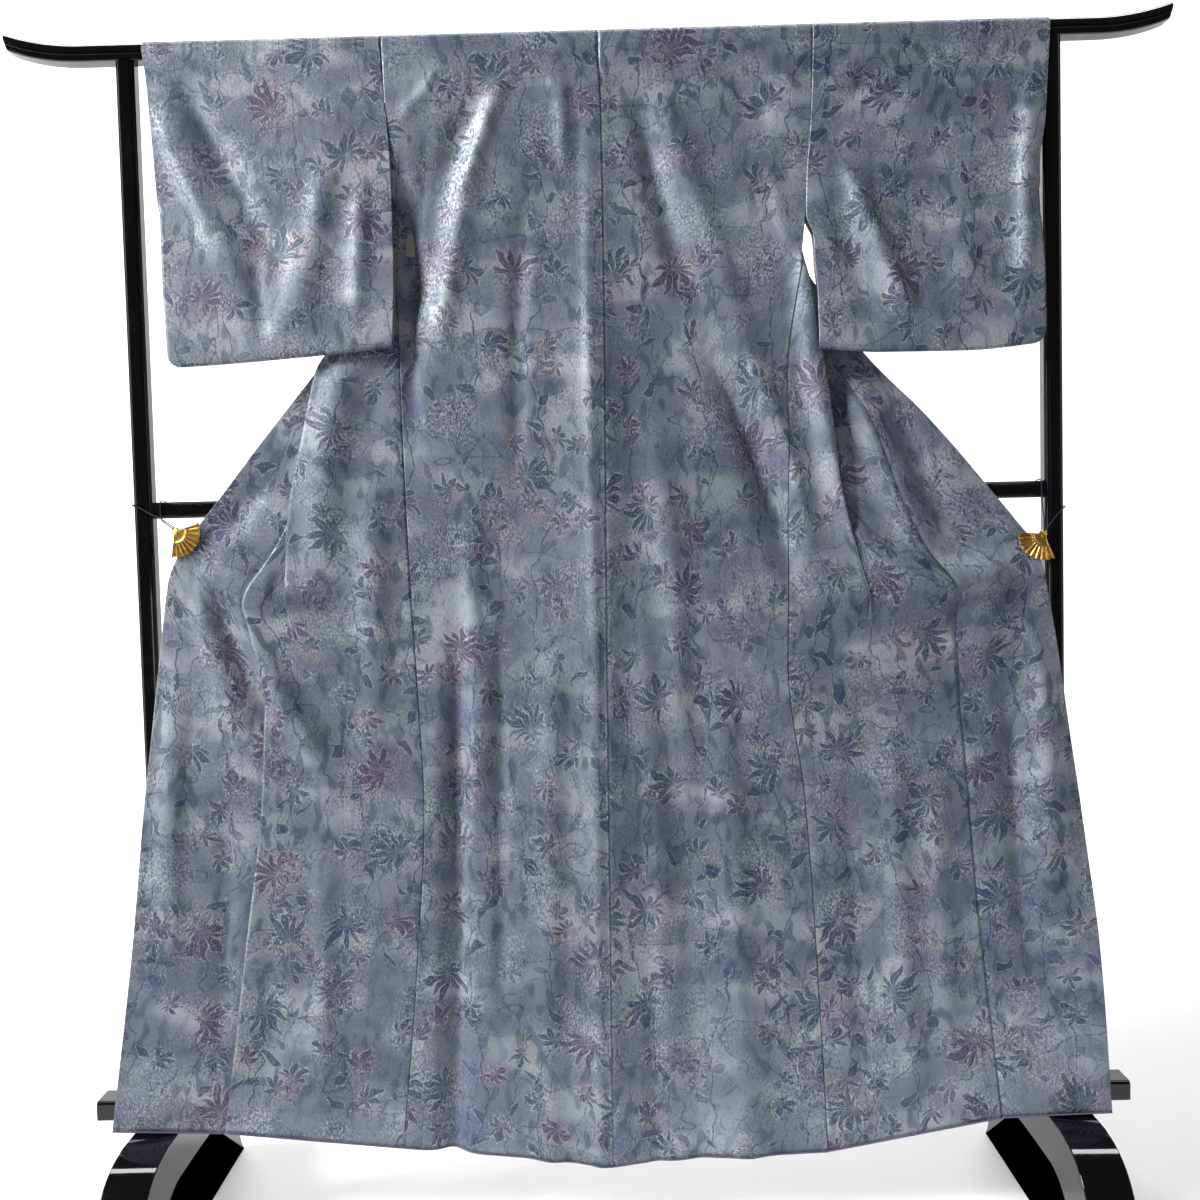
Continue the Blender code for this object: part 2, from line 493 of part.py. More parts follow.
def front_places(side, row):
    """Column places along a front row, from the side seam to the inner edge: (x', y), and their shares."""
    corners = np.array(front_corners(side, row))
    reach = np.concatenate(([0.0], np.cumsum(np.linalg.norm(np.diff(corners, axis=0), axis=1))))
    keys = reach.copy()
    if row <= LIP_START:
        keys[1:4] = keys[4] * 0.45 * (1 - row / ARMPIT)
    at = [keys[0]]
    for i, count in enumerate(ROW_FACES):
        at += list(keys[i] + (keys[i + 1] - keys[i]) * np.arange(1, count + 1) / count)
    least = 0.0004 if ARMPIT <= row < 0.40 else 0.0010
    if row > PLEAT_END:
        least = 0.003
    if row <= WRAP_CENTRE:
        least = 0.002
    for i in range(1, len(at)):
        at[i] = max(at[i], at[i - 1] + least)
    at[-1] = reach[-1]
    for i in range(len(at) - 2, -1, -1):
        at[i] = min(at[i], at[i + 1] - least)
    return np.interp(at, reach, corners[:, 0]), np.interp(at, reach, corners[:, 1]), np.array(at) / reach[-1]


def front_row(side, sign, row):
    """One row of the front panel, from its inner edge to the side seam."""
    x, y, share = front_places(side, row)
    side_drop = row + (HEM_DROP[side] - HEM_ROW) * below_pleat(row)
    drop = side_drop + share * (INNER[side]("drop", row) - side_drop)
    facing = np.arange(len(x)) <= ROW_FACES[0]
    if row > PLEAT_END:
        facing[:] = True
    elif row < ARMPIT:
        facing[:] = False
    rise = np.where(facing, relief(FRONT_FOLDS, sign * x, drop) + relief(BACK_FOLDS, sign * x, drop), 0.0)
    return world(sign, x, y - rise, drop)[::-1]


def body_panel(side, sign):
    """Back hem, over the rail, to the front hem, with the neck cut out of the middle."""
    x, _, _ = front_places(side, WRAP_CENTRE)
    side_x = SIDE[side]("x", WRAP_CENTRE)
    middle = sign * CENTRE("x", WRAP_CENTRE) + SEAM / 2
    neck_columns = (x[::-1] - middle) / (side_x - middle)
    rows = [back_row(side, sign, row, back_shares(row, neck_columns)) for row in reversed(HANG_ROWS)]
    for angle in WRAP_ANGLES:
        turn = math.radians(angle)
        flat = back_row(side, sign, WRAP_CENTRE, back_shares(WRAP_CENTRE, neck_columns))
        flat[:, 1] = -WRAP_RADIUS * math.sin(turn)
        flat[:, 2] = RAIL_TOP - WRAP_CENTRE + WRAP_RADIUS * math.cos(turn)
        rows.append(flat)
    for row in HANG_ROWS:
        spread = front_row(side, sign, row)
        neck = np.repeat(spread[:1], NECK_FACES, axis=0)
        rows.append(np.concatenate([neck, spread]))
    bm = grid(rows)
    bm.faces.ensure_lookup_table()
    across = NECK_FACES + len(neck_columns) - 1
    first_cut = len(HANG_ROWS) + NECK_WRAPS - 1
    cut = [face for i, face in enumerate(bm.faces)
           if i // across >= first_cut and i % across < NECK_FACES]
    bmesh.ops.delete(bm, geom=cut, context="FACES")
    cloth_object(f"body_{side}", bm, silk(f"silk_body_{side}"))


# ------------------------------------------------------------------ overlap panels
def okumi_panel(side, sign):
    rows = []
    for row in (OKUMI_START,) + tuple(r for r in HANG_ROWS if r > OKUMI_START):
        seam = np.array([INNER[side]("x", row), INNER[side]("drop", row)])
        edge = np.array([OUTER[side]("x", row), OUTER[side]("drop", row)])
        width = np.linalg.norm(edge - seam)
        shares = np.linspace(SEAM / width, 1.0, OKUMI_FACES + 1)
        x = seam[0] + shares * (edge[0] - seam[0])
        drop = seam[1] + shares * (edge[1] - seam[1])
        y = INNER_DEPTH("y", drop) * (1 - shares) + OUTER_DEPTH("y", drop) * shares
        rise = relief(FRONT_FOLDS, sign * x, drop) * ramp(0.70, 0.80, row)
        rows.append(world(sign, x, y - rise, drop))
    cloth_object(f"okumi_{side}", grid(rows), silk(f"silk_okumi_{side}", 0.9))


# ------------------------------------------------------------------ sleeves
def sleeve_layer(side, sign, row, shares, front):
    """One row of a sleeve's front or rear layer, from the body side to the wrist."""
    inner = SLEEVE[side]("inner", row)
    outer = SLEEVE[side]("outer", row)
    if not front and side == "right":
        outer = outer + (min(outer, SLEEVE_REAR_REACH) - outer) * float(ramp(0.05, 0.10, row))
    x = inner + shares * (outer - inner)
    bottom = SLEEVE_BOTTOM[side]("drop", x)
    corner = np.clip((x - outer + SLEEVE_CORNER) / SLEEVE_CORNER, 0.0, 1.0)
    bottom = bottom - SLEEVE_CORNER * (1 - np.sqrt(1 - np.minimum(corner, 0.999) ** 2))
    drop = row + (bottom - SLEEVE_HEM) * ramp(SLEEVE_LEVEL_TO, SLEEVE_ROWS[-1], row)
    if front:
        y = SLEEVE_FRONT("y", drop) - relief(SLEEVE_FOLDS, sign * x, drop) * ramp(*FOLDS_FROM, row)
    else:
        y = SLEEVE_REAR("y", drop) - relief(REAR_FOLDS, sign * x, drop) * ramp(0.30, 0.12, row)
    return x, y, drop


def sleeve(side, sign):
    """Front bottom, over the rail, to the rear bottom; sewn along the bottom and below the wrist opening."""
    shares = np.array(SLEEVE_ACROSS)
    width = SLEEVE[side]("outer", 0.3) - SLEEVE[side]("inner", 0.3)
    rounding = np.array([0.0, 0.3, 1.0]) * HEM_ROUND
    shares = np.concatenate([shares, 1 - rounding[::-1] / width])
    below = SLEEVE_HEM - rounding[::-1]
    layer_rows = SLEEVE_ROWS + tuple(below)
    layers = {True: [], False: []}
    for row in layer_rows:
        front = np.array(sleeve_layer(side, sign, row, shares, True))
        rear = np.array(sleeve_layer(side, sign, row, shares, False))
        meet = (front + rear) / 2
        sewn_side = np.clip((1 - shares) * width / HEM_ROUND, 0.0, 1.0) if row > WRIST_OPENING else 1.0
        sewn_bottom = np.clip((SLEEVE_HEM - row) / HEM_ROUND, 0.0, 1.0)
        open_share = np.sqrt(1 - (1 - sewn_side) ** 2) * np.sqrt(1 - (1 - sewn_bottom) ** 2)
        for is_front, layer in ((True, front), (False, rear)):
            x, y, drop = meet + (layer - meet) * open_share
            layers[is_front].append(world(sign, x, y, drop))
    rows = layers[True][::-1]
    for angle in WRAP_ANGLES:
        turn = math.radians(angle)
        flat = layers[True][0].copy()
        flat[:, 1] = -WRAP_RADIUS * math.sin(turn)
        flat[:, 2] = RAIL_TOP - WRAP_CENTRE + WRAP_RADIUS * math.cos(turn)
        rows.append(flat)
    rows += layers[False]
    bm = grid(rows)
    bmesh.ops.remove_doubles(bm, verts=bm.verts, dist=0.00005)
    cloth_object(f"sleeve_{side}", bm, silk(f"silk_sleeve_{side}"))


# ------------------------------------------------------------------ collar
def collar_half(side, sign):
    """Rows of the doubled band from the middle of the back neck to the clip, each from its seam inward."""
    rows = []
    across = np.array(COLLAR_ACROSS)
    start = math.radians(COLLAR_START)
    for share in COLLAR_NECK_SHARES:
        radius = WRAP_RADIUS + COLLAR_LIFT[0] + COLLAR_LIFT[1] * share ** 2
        arc = (math.pi / 2 - start) * radius
        length = across * COLLAR_LAY("width", 0.0)
        turn = start + np.minimum(length / arc, 1.0) * (math.pi / 2 - start)
        x = share * NECK_HALF + sign * CENTRE("x", 0.0) * (1 - share) - COLLAR_CORNER_LEAN * share * across
        drop = WRAP_CENTRE - radius * np.cos(turn) + np.maximum(length - arc, 0.0)
        rows.append(world(sign, x, radius * np.sin(turn), drop))
    for row in [r for r in HANG_ROWS if r <= PLEAT_END]:
        seam = np.array([OUTER[side]("x", row), OUTER[side]("drop", row)])
        turn = math.radians(COLLAR_LAY("lean", row))
        width = COLLAR_LAY("width", row)
        x = seam[0] - math.sin(turn) * across * width
        drop = seam[1] + math.cos(turn) * across * width
        rows.append(world(sign, x, INNER_DEPTH("y", drop) + COLLAR_BEHIND, drop))
    return rows


def collar():
    left = collar_half("left", -1.0)
    right = collar_half("right", 1.0)
    rows = left[::-1] + right[1:]
    cloth_object("collar", grid(rows), silk("silk_collar", 1.1), COLLAR_CLOTH)


# ------------------------------------------------------------------ stand
def rail():
    """A half-round bar with a bead line on each side, its ends swept up."""
    depth = RAIL_RADIUS
    half = [(depth * math.sin(a), depth * math.cos(a) - depth) for a in np.radians(np.arange(0, 91, 15))]
    half += [(depth, -0.0165), (depth - RAIL_STEP, -0.0170), (depth - RAIL_STEP, -0.0250),
             (depth - 0.003, -RAIL_HEIGHT)]
    outline = half[::-1] + [(-y, z) for y, z in half[1:]]
    outline.append(outline[0])
    straight = RAIL_HALF_LENGTH - RAIL_END_REACH
    end = straight + RAIL_END_REACH * np.linspace(0, 1, 8)
    stations = np.concatenate([-end[::-1], end])
    rows = []
    for x in stations:
        sweep = max(abs(x) - straight, 0.0) / RAIL_END_REACH
        cut = math.copysign(RAIL_END_CUT * sweep ** 3, x)
        rows.append([(x + cut * z, y, RAIL_TOP + z + RAIL_END_RISE * sweep ** 2) for y, z in outline])
    bm = grid(rows)
    bmesh.ops.remove_doubles(bm, verts=bm.verts, dist=0.0001)
    bmesh.ops.holes_fill(bm, edges=[edge for edge in bm.edges if edge.is_boundary])
    bmesh.ops.recalc_face_normals(bm, faces=bm.faces)
    mesh = bpy.data.meshes.new("rail")
    bm.to_mesh(mesh)
    bm.free()
    mesh.shade_smooth()
    mesh.set_sharp_from_angle(angle=math.radians(30))
    add_object("rail", mesh, lacquer("lacquer_rail"))


def stand():
    rail()
    post_outline = moulded_corner_outline(POST_WIDTH, POST_DEPTH, CORNER_STEP, CORNER_ROUND)
    post_bottom = BASE_TOP + GAP
    post_top = RAIL_TOP - RAIL_HEIGHT - GAP
    foot_outline = list(FOOT_PROFILE) + [(-y, z) for y, z in FOOT_PROFILE[-2:0:-1]]
    for side, sign in SIDES:
        prism(f"post_{side}", post_outline, post_top - post_bottom, lacquer(f"lacquer_post_{side}"),
              (sign * POST_X, 0, (post_top + post_bottom) / 2))
        prism(f"foot_{side}", foot_outline, FOOT_WIDTH, lacquer(f"lacquer_foot_{side}"),
              (sign * POST_X, 0, 0), (math.pi / 2, 0, math.pi / 2), edge=FOOT_EDGE)
    bar_outline = moulded_corner_outline(CROSSBAR_SIZE, CROSSBAR_SIZE, CORNER_STEP, 0.003)
    bar_length = 2 * (POST_X - POST_WIDTH / 2 - GAP)
    prism("crossbar", bar_outline, bar_length, lacquer("lacquer_crossbar"),
          (0, 0, RAIL_TOP - CROSSBAR_DROP - CROSSBAR_SIZE / 2), (0, math.pi / 2, 0))
    base_outline = moulded_corner_outline(BASE_HEIGHT, BASE_DEPTH, 0.0005, 0.004)
    prism("base_bar", base_outline, 2 * BASE_HALF_LENGTH, lacquer("lacquer_base_bar"),
          (0, 0, BASE_TOP - BASE_HEIGHT / 2), (0, math.pi / 2, 0))


# ------------------------------------------------------------------ clips and cords
def clip(side):
    """A pleated fan in front of the cloth, a strap over the cloth's edge and a jaw behind it."""
    pivot_x, pivot_drop, aim, jaw_y = CLIPS[side]
    across = np.linspace(-1.0, 1.0, 2 * CLIP_PLEATS + 1)
    fold = np.where(np.arange(len(across)) % 2 == 0, -1.0, 1.0)
    along = np.array([math.sin(math.radians(aim)), math.cos(math.radians(aim))])
    beside = np.array([along[1], -along[0]])
    rows = []
    for radius in (1.0, 0.6, 0.22):
        angle = np.radians(across * CLIP_SPREAD / 2)
        reach = CLIP_RADIUS * radius * (1 - 0.02 * fold)
        plan = (along[:, None] * np.cos(angle) + beside[:, None] * np.sin(angle)) * reach
        y = CLIP_FRONT_Y + fold * CLIP_PLEAT_DEPTH * radius
        rows.append(np.stack([pivot_x + plan[0], y, RAIL_TOP - pivot_drop - plan[1]], axis=-1))
    for distance, share, width in CLIP_STRIP:
        plan = along[:, None] * distance + beside[:, None] * across * CLIP_STRAP * width
        y = CLIP_FRONT_Y + share * (jaw_y - CLIP_FRONT_Y)
        rows.append(np.stack([pivot_x + plan[0], np.full(len(across), y), RAIL_TOP - pivot_drop - plan[1]],
                             axis=-1))
    cloth_object(f"clip_{side}", grid(rows), brass(f"gilt_clip_{side}"), CLIP_METAL)


def cord(side):
    """A thin cord from the clip over the crossbar, round the post and back."""
    knots = np.array(CORDS[side])
    reach = np.concatenate(([0.0], np.cumsum(np.linalg.norm(np.diff(knots, axis=0), axis=1))))
    at = np.linspace(0.0, reach[-1], CORD_POINTS)
    places = np.stack([smooth(reach, knots[:, i], at) for i in range(3)], axis=-1)
    curve = bpy.data.curves.new(f"cord_{side}", "CURVE")
    curve.dimensions = "3D"
    curve.bevel_depth = CORD_RADIUS
    curve.bevel_resolution = 2
    curve.use_fill_caps = True
    spline = curve.splines.new("POLY")
    spline.points.add(len(places) - 1)
    for point, (x, y, drop) in zip(spline.points, places):
        point.co = (x, y, RAIL_TOP - drop, 1)
    add_object(f"cord_{side}", curve, finish_material(f"silk_cord_{side}", (0.05, 0.03, 0.09), 0.7))


clear_scene()
KIMONO = bpy.data.collections.new("silk_kimono_on_stand")
bpy.context.scene.collection.children.link(KIMONO)

stand()
for side_name, side_sign in SIDES:
    body_panel(side_name, side_sign)
    okumi_panel(side_name, side_sign)
    sleeve(side_name, side_sign)
    clip(side_name)
    cord(side_name)
collar()
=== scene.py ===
# %% [markdown]
# # A silk kimono on a lacquered stand
# The imported solids come in first and stay where they are. They carry the collision and the mass.
# Every piece made below is a finer version of one of them, in the same metres and the same frame:
# +X along the rail, +Y away from the kimono's back, +Z up. The box of the solids is kept, and printed
# at the end beside the finished model's box.
# %% Load the solids
import math

import bmesh
import bpy
import numpy as np
from mathutils import Matrix, Vector

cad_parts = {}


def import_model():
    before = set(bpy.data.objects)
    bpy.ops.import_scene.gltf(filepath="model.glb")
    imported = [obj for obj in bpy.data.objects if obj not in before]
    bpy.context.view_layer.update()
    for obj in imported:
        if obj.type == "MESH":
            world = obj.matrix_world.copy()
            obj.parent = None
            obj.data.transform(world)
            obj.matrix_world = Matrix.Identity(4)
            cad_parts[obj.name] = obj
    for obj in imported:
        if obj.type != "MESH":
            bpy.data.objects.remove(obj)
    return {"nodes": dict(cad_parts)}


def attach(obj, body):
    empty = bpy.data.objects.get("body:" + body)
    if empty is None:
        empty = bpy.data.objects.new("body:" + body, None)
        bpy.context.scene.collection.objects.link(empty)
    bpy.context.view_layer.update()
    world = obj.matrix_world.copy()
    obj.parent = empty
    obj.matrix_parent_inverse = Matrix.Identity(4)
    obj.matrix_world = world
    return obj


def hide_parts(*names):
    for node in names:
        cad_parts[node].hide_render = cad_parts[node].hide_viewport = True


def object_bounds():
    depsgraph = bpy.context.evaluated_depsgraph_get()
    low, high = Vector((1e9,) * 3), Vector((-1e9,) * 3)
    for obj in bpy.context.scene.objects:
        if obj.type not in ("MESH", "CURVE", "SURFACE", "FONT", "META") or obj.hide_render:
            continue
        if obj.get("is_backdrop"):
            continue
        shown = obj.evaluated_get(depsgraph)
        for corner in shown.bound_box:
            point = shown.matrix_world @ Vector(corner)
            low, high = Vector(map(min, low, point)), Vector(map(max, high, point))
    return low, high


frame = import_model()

cad_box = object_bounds()
print("solids:", len(frame["nodes"]), "box", cad_box)

# %% [markdown]
# ## The camera
# A kimono is hung flat like this so that all of its back shows, so the camera stands square to it at
# chest height and tips down a little. A camera can be aimed with a Track To constraint, but then it
# can't be rolled. Here its three axes are worked out from yaw, pitch and roll, and put in its matrix.
# %% Camera
FRAME_PIXELS = 1200
FOCAL_PIXELS = 1110
SENSOR = 36.0
CAMERA_PLACE = Vector((0.013, -1.640, 1.010))
YAW, PITCH, ROLL = (math.radians(a) for a in (-0.44, 2.53, -1.39))

ahead = Vector((math.sin(YAW) * math.cos(PITCH), math.cos(YAW) * math.cos(PITCH), -math.sin(PITCH)))
level = Vector((math.cos(YAW), -math.sin(YAW), 0.0))
upright = level.cross(ahead)
right = level * math.cos(ROLL) + upright * math.sin(ROLL)
up = upright * math.cos(ROLL) - level * math.sin(ROLL)

bpy.ops.object.select_all(action="DESELECT")
bpy.ops.object.camera_add(location=CAMERA_PLACE)
camera = bpy.context.active_object
camera.name = "camera"
camera.data.lens = SENSOR * FOCAL_PIXELS / FRAME_PIXELS
camera.data.sensor_width = SENSOR
camera.data.clip_start = 0.05
camera.matrix_world = Matrix.Translation(CAMERA_PLACE) @ Matrix((right, up, -ahead)).transposed().to_4x4()
bpy.context.scene.camera = camera
print("lens", round(camera.data.lens, 1), "mm")

# %% [markdown]
# ## Shader sums as Python
# A woven pattern is a lot of arithmetic: distances, angles and masks. Wiring that by hand takes hundreds
# of clicks. This small class wraps one output socket, so that `1 - mask * 2` adds the Math nodes itself.
# Every other node comes from `node`, which sets the node's settings before it fills its sockets.
# %% Sockets that can be added and multiplied
class Wire:
    def __init__(self, tree, made=None, output=0):
        self.tree = tree
        self.made = made
        self.output = output

    def __getitem__(self, output):
        return Wire(self.tree, self.made, output)

    def node(self, kind, settings=None, inputs=None, output=0):
        made = self.tree.nodes.new(kind)
        for key, value in (settings or {}).items():
            setattr(made, key, value)
        for key, value in (inputs or {}).items():
            if isinstance(value, Wire):
                self.tree.links.new(value.made.outputs[value.output], made.inputs[key])
            else:
                made.inputs[key].default_value = value
        return Wire(self.tree, made, output)

    def math(self, operation, *values, clamp=False):
        settings = {"operation": operation, "use_clamp": clamp}
        return self.node("ShaderNodeMath", settings, dict(enumerate(values)))

    def clamp(self):
        return self.math("ADD", self, 0.0, clamp=True)

    def fade(self, start, end):
        """0 at start and 1 at end, easing at both."""
        return self.node("ShaderNodeMapRange", {"interpolation_type": "SMOOTHSTEP"},
                         {"Value": self, "From Min": start, "From Max": end})

    def over(self, base, colour):
        """colour where this mask is 1, base where it is 0."""
        inputs = {"Factor": self, 6: base, 7: colour}
        return self.node("ShaderNodeMix", {"data_type": "RGBA"}, inputs, output=2)


# %% Its operators
def operator(operation, turned=False):
    """A method of Wire that adds one Math node; turned, the other value comes first."""
    def add_node(wire, *others):
        values = (wire, *others)
        return wire.math(operation, *(values[::-1] if turned else values))
    return add_node


OPERATORS = {
    "__add__": "ADD", "__sub__": "SUBTRACT", "__mul__": "MULTIPLY", "__truediv__": "DIVIDE",
    "__pow__": "POWER", "__lt__": "LESS_THAN", "__abs__": "ABSOLUTE", "floor": "FLOOR", "part": "FRACT",
    "sin": "SINE", "cos": "COSINE",
}
for method, operation in OPERATORS.items():
    setattr(Wire, method, operator(operation))
for method, operation in (("__radd__", "ADD"), ("__rsub__", "SUBTRACT"), ("__rmul__", "MULTIPLY")):
    setattr(Wire, method, operator(operation, turned=True))


# %% Materials from wires
def new_finish(name, **values):
    """A material, its shader node, and a Wire to build its tree from; values such as coat_weight are set."""
    material = bpy.data.materials.new(name)
    material.use_nodes = True
    tree = material.node_tree
    shader = tree.nodes["Principled BSDF"]
    for key, value in values.items():
        shader.inputs[key.replace("_", " ").title().replace("Ior", "IOR")].default_value = value
    return material, shader, Wire(tree)


def plug(wire, shader, socket):
    wire.tree.links.new(wire.made.outputs[wire.output], shader.inputs[socket])


def plug_bump(height, shader, strength, distance):
    """Raise the surface by this height times the distance, in metres."""
    inputs = {"Height": height, "Strength": strength, "Distance": distance}
    plug(height.node("ShaderNodeBump", inputs=inputs), shader, "Normal")


def noise_on(tree, seed):
    """Noise at the places of a piece, moved by the seed and drawn out along the axes."""
    place = tree.node("ShaderNodeTexCoord", output="Object")

    def noise(scale, detail, drawn=(1.0, 1.0, 1.0)):
        moved = place.node("ShaderNodeMapping", inputs={"Vector": place, "Location": (seed, 0.0, 0.0),
                                                        "Scale": drawn})
        return place.node("ShaderNodeTexNoise", inputs={"Vector": moved, "Scale": scale, "Detail": detail})

    return noise


print("wires ready")

# %% [markdown]
# ## Studio light and a pale sheet behind
# Satin shows its folds only where light grazes it, and lacquer shows only what it reflects. So the light
# comes mainly from one large soft box far to the upper left, which rakes across the cloth. A weak one in
# front opens the shadows of the skirt, a tall one on each side draws a long bright line on every post, and
# one behind lights the wall. Floor and wall are one pale sheet with a round bend between them, so that no
# edge shows behind the stand.
# %% Lights and backdrop
SOFT_BOXES = (              # place, where it aims, width, height, power
    ("light_key", (-6.80, -3.40, 6.20), (0.0, 0.0, 0.9), 2.6, 2.6, 1340.0),
    ("light_low", (-0.4, -3.2, 0.45), (0.1, 0.0, 0.45), 1.6, 0.9, 15.0),
    ("light_left", (-2.6, -1.0, 1.2), (0.0, 0.0, 0.7), 0.4, 2.6, 20.0),
    ("light_right", (2.7, -1.1, 1.6), (0.0, 0.0, 1.0), 0.4, 2.6, 9.0),
    ("light_wall", (0.0, 0.9, 3.9), (0.0, 3.2, 1.2), 5.0, 0.8, 170.0),
)
for name, place, aim, width, height, power in SOFT_BOXES:
    toward = Vector(aim) - Vector(place)
    bpy.ops.object.light_add(type="AREA", location=place, rotation=toward.to_track_quat("-Z", "Y").to_euler())
    lamp = bpy.context.active_object
    lamp.name = name
    lamp.data.shape = "RECTANGLE"
    lamp.data.size, lamp.data.size_y = width, height
    lamp.data.energy = power

world = bpy.data.worlds.new("studio")
world.use_nodes = True
world.node_tree.nodes["Background"].inputs["Color"].default_value = (0.96, 0.97, 1.0, 1.0)
world.node_tree.nodes["Background"].inputs["Strength"].default_value = 0.075
bpy.context.scene.world = world

BACKDROP_HALF = 4.5
BACKDROP_FRONT = -0.6       # a floor that came further forward would light the folds from below
BACKDROP_Y, BACKDROP_BEND, BACKDROP_TOP = 2.6, 1.0, 4.5
bend = [(BACKDROP_Y + BACKDROP_BEND * math.sin(a), BACKDROP_BEND * (1 - math.cos(a)))
        for a in np.radians(np.arange(0, 91, 10))]
profile = [(BACKDROP_FRONT, 0.0)] + bend + [(BACKDROP_Y + BACKDROP_BEND, BACKDROP_TOP)]


def grid(name, rows):
    """A grid of faces whose points lie at the rows of places."""
    rows = np.asarray(rows, dtype=float)
    bpy.ops.object.select_all(action="DESELECT")
    across, along = rows.shape[1] - 1, rows.shape[0] - 1
    bpy.ops.mesh.primitive_grid_add(x_subdivisions=across, y_subdivisions=along, size=1)
    piece = bpy.context.active_object
    piece.name = piece.data.name = name
    piece.data.vertices.foreach_set("co", rows.reshape(-1))
    return piece


backdrop = grid("backdrop", [[(-BACKDROP_HALF, y, z), (BACKDROP_HALF, y, z)] for y, z in profile])
bpy.ops.object.shade_smooth()
paper, _, _ = new_finish("backdrop_paper", base_color=(0.90, 0.90, 0.90, 1), roughness=0.9)
backdrop.data.materials.append(paper)
backdrop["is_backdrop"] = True
bpy.context.scene.view_settings.view_transform = "Standard"
print("lights", len(SOFT_BOXES), bpy.context.scene.view_settings.view_transform)

# %% [markdown]
# ## Figured silk
# The silk is woven with a hazy ground and a tangle of small flowers over it: open blossoms, leaf sprays
# on long wandering stems, hanging buds and thin tendrils, in indigo, teal and plum with pale edges.
# A painted image would do this too, but nodes stay sharp at any distance. Each kind of flower is a
# distance worked out from the cloth's own map: positive inside the petal, negative outside. A fine
# speckle is added to every distance, which frays the edges thread by thread as a loom does.
# %% Colours
def tone(red, green, blue):
    """A display colour, 0 to 255, as the linear values a shader wants."""
    parts = [c / 255 for c in (red, green, blue)]
    return tuple(c / 12.92 if c <= 0.04045 else ((c + 0.055) / 1.055) ** 2.4 for c in parts) + (1.0,)


GROUND = tone(112, 119, 131)
GROUND_PALE = tone(152, 157, 165)
LAVENDER = tone(84, 88, 118)
TEAL_HAZE = tone(84, 104, 113)
INDIGO = tone(32, 42, 84)
PLUM = tone(60, 48, 78)
TEAL = tone(30, 64, 84)
EDGE_PALE = tone(176, 178, 182)
PEACH = tone(178, 142, 140)

# %% Flower shapes
FULL_TURN = 2 * math.pi


def shift(uv, u, v):
    return uv.node("ShaderNodeVectorMath", {"operation": "ADD"}, {0: uv, 1: (u, v, 0.0)})


def chance_at(x, y):
    """A number from 0 to 1 that belongs to one pair of whole numbers."""
    pair = x.node("ShaderNodeCombineXYZ", inputs={"X": x, "Y": y})
    return pair.node("ShaderNodeTexWhiteNoise", {"noise_dimensions": "2D"}, {"Vector": pair}, output="Value")


def lens(along, across, length, half_width, fullness, widest=1.0):
    """A petal or leaf that runs from 0 to its length: how deep inside it a place lies."""
    share = along / length
    beyond = abs(share - 0.5) - 0.5
    bulge = share.clamp()
    if widest != 1.0:
        bulge = bulge ** widest
    past_end = beyond.math("MAXIMUM", beyond, 0.0) * length
    return (bulge * math.pi).sin() ** fullness * half_width - abs(across) - past_end


# %% Blossoms and leaf sprays
def blossom(uv, size, petals, reach, slim):
    """Half-open flowers: slender curled petals, longest on the side that the flower faces."""
    cell = uv.node("ShaderNodeTexVoronoi", {"voronoi_dimensions": "2D", "feature": "F1"},
                   {"Vector": uv, "Scale": 1 / size, "Randomness": 0.85})
    local = uv.node("ShaderNodeVectorMath", {"operation": "SUBTRACT"}, {0: uv, 1: cell["Position"]})
    place = local.node("ShaderNodeSeparateXYZ", inputs={"Vector": local})
    chance = cell.node("ShaderNodeSeparateColor", inputs={"Color": cell["Color"]})
    x, y = place["X"], place["Y"]
    first, second, third = chance["Red"], chance["Green"], chance["Blue"]
    turn = (x.math("ARCTAN2", y, x) * (1 / FULL_TURN) + first) * petals
    petal = turn.math("FLOORED_MODULO", turn.floor(), petals)
    own = chance_at(petal, first)
    radius = local.node("ShaderNodeVectorMath", {"operation": "LENGTH"}, {0: local}, output="Value")
    within = (turn.part() - 0.5 + (own - 0.5) * (0.3 - radius * (0.8 / reach))) * (FULL_TURN / petals)
    facing = ((petal * (1 / petals) + second) * FULL_TURN).cos()
    length = (facing * 0.34 + own * 0.40 + 0.48) * reach
    depth = lens(radius * within.cos(), radius * within.sin(), length, length * slim, 0.75, 1.35)
    return depth, radius * within.sin(), radius, second, third


def spray(u, v, columns, spacing, length, half_width, lean, seed, wander, missing):
    """Leaves in turn on both sides of long wandering stems: their depth, and the distance from the stem."""
    place = u * (1 / columns) + seed
    column = place.floor()
    waves = (v * 17.0 + column * 2.4).sin() * wander + (v * 41.0 + column * 5.1).sin() * (wander * 0.35)
    aside = (place.part() - 0.5) * columns - waves
    step = v * (1 / spacing) + column * 0.37
    row = step.floor()
    rise = (step.part() - 0.5) * spacing
    out = aside * ((row * 0.5).part() * 4.0 - 1.0)
    size = chance_at(row, column)
    other = (size * 17.0).part()
    angle = lean + (other - 0.5) * 0.8
    along = out * angle.sin() + rise * angle.cos()
    across = out * angle.cos() - rise * angle.sin()
    longest = length * (0.60 + 0.5 * (size * 5.0).part())
    depth = lens(along, across, longest, longest * (half_width / length), 0.8)
    return depth - (missing > size) * 0.05, across, abs(aside), other


# %% Noise on the cloth
MAP = "cloth"               # each piece's own map, in metres across and along its strip


def cloud(flat, scale_u, scale_v, detail, seed=0.0, roughness=0.55, output=0):
    """Noise on the cloth's map, drawn out along the cloth and moved by the seed."""
    place = flat.node("ShaderNodeMapping", inputs={"Vector": flat, "Location": (seed, seed * 0.7, 0.0),
                                                   "Scale": (scale_u, scale_v, 1.0)})
    inputs = {"Vector": place, "Scale": 1.0, "Detail": detail, "Roughness": roughness}
    return flat.node("ShaderNodeTexNoise", {"noise_dimensions": "2D"}, inputs, output=output)


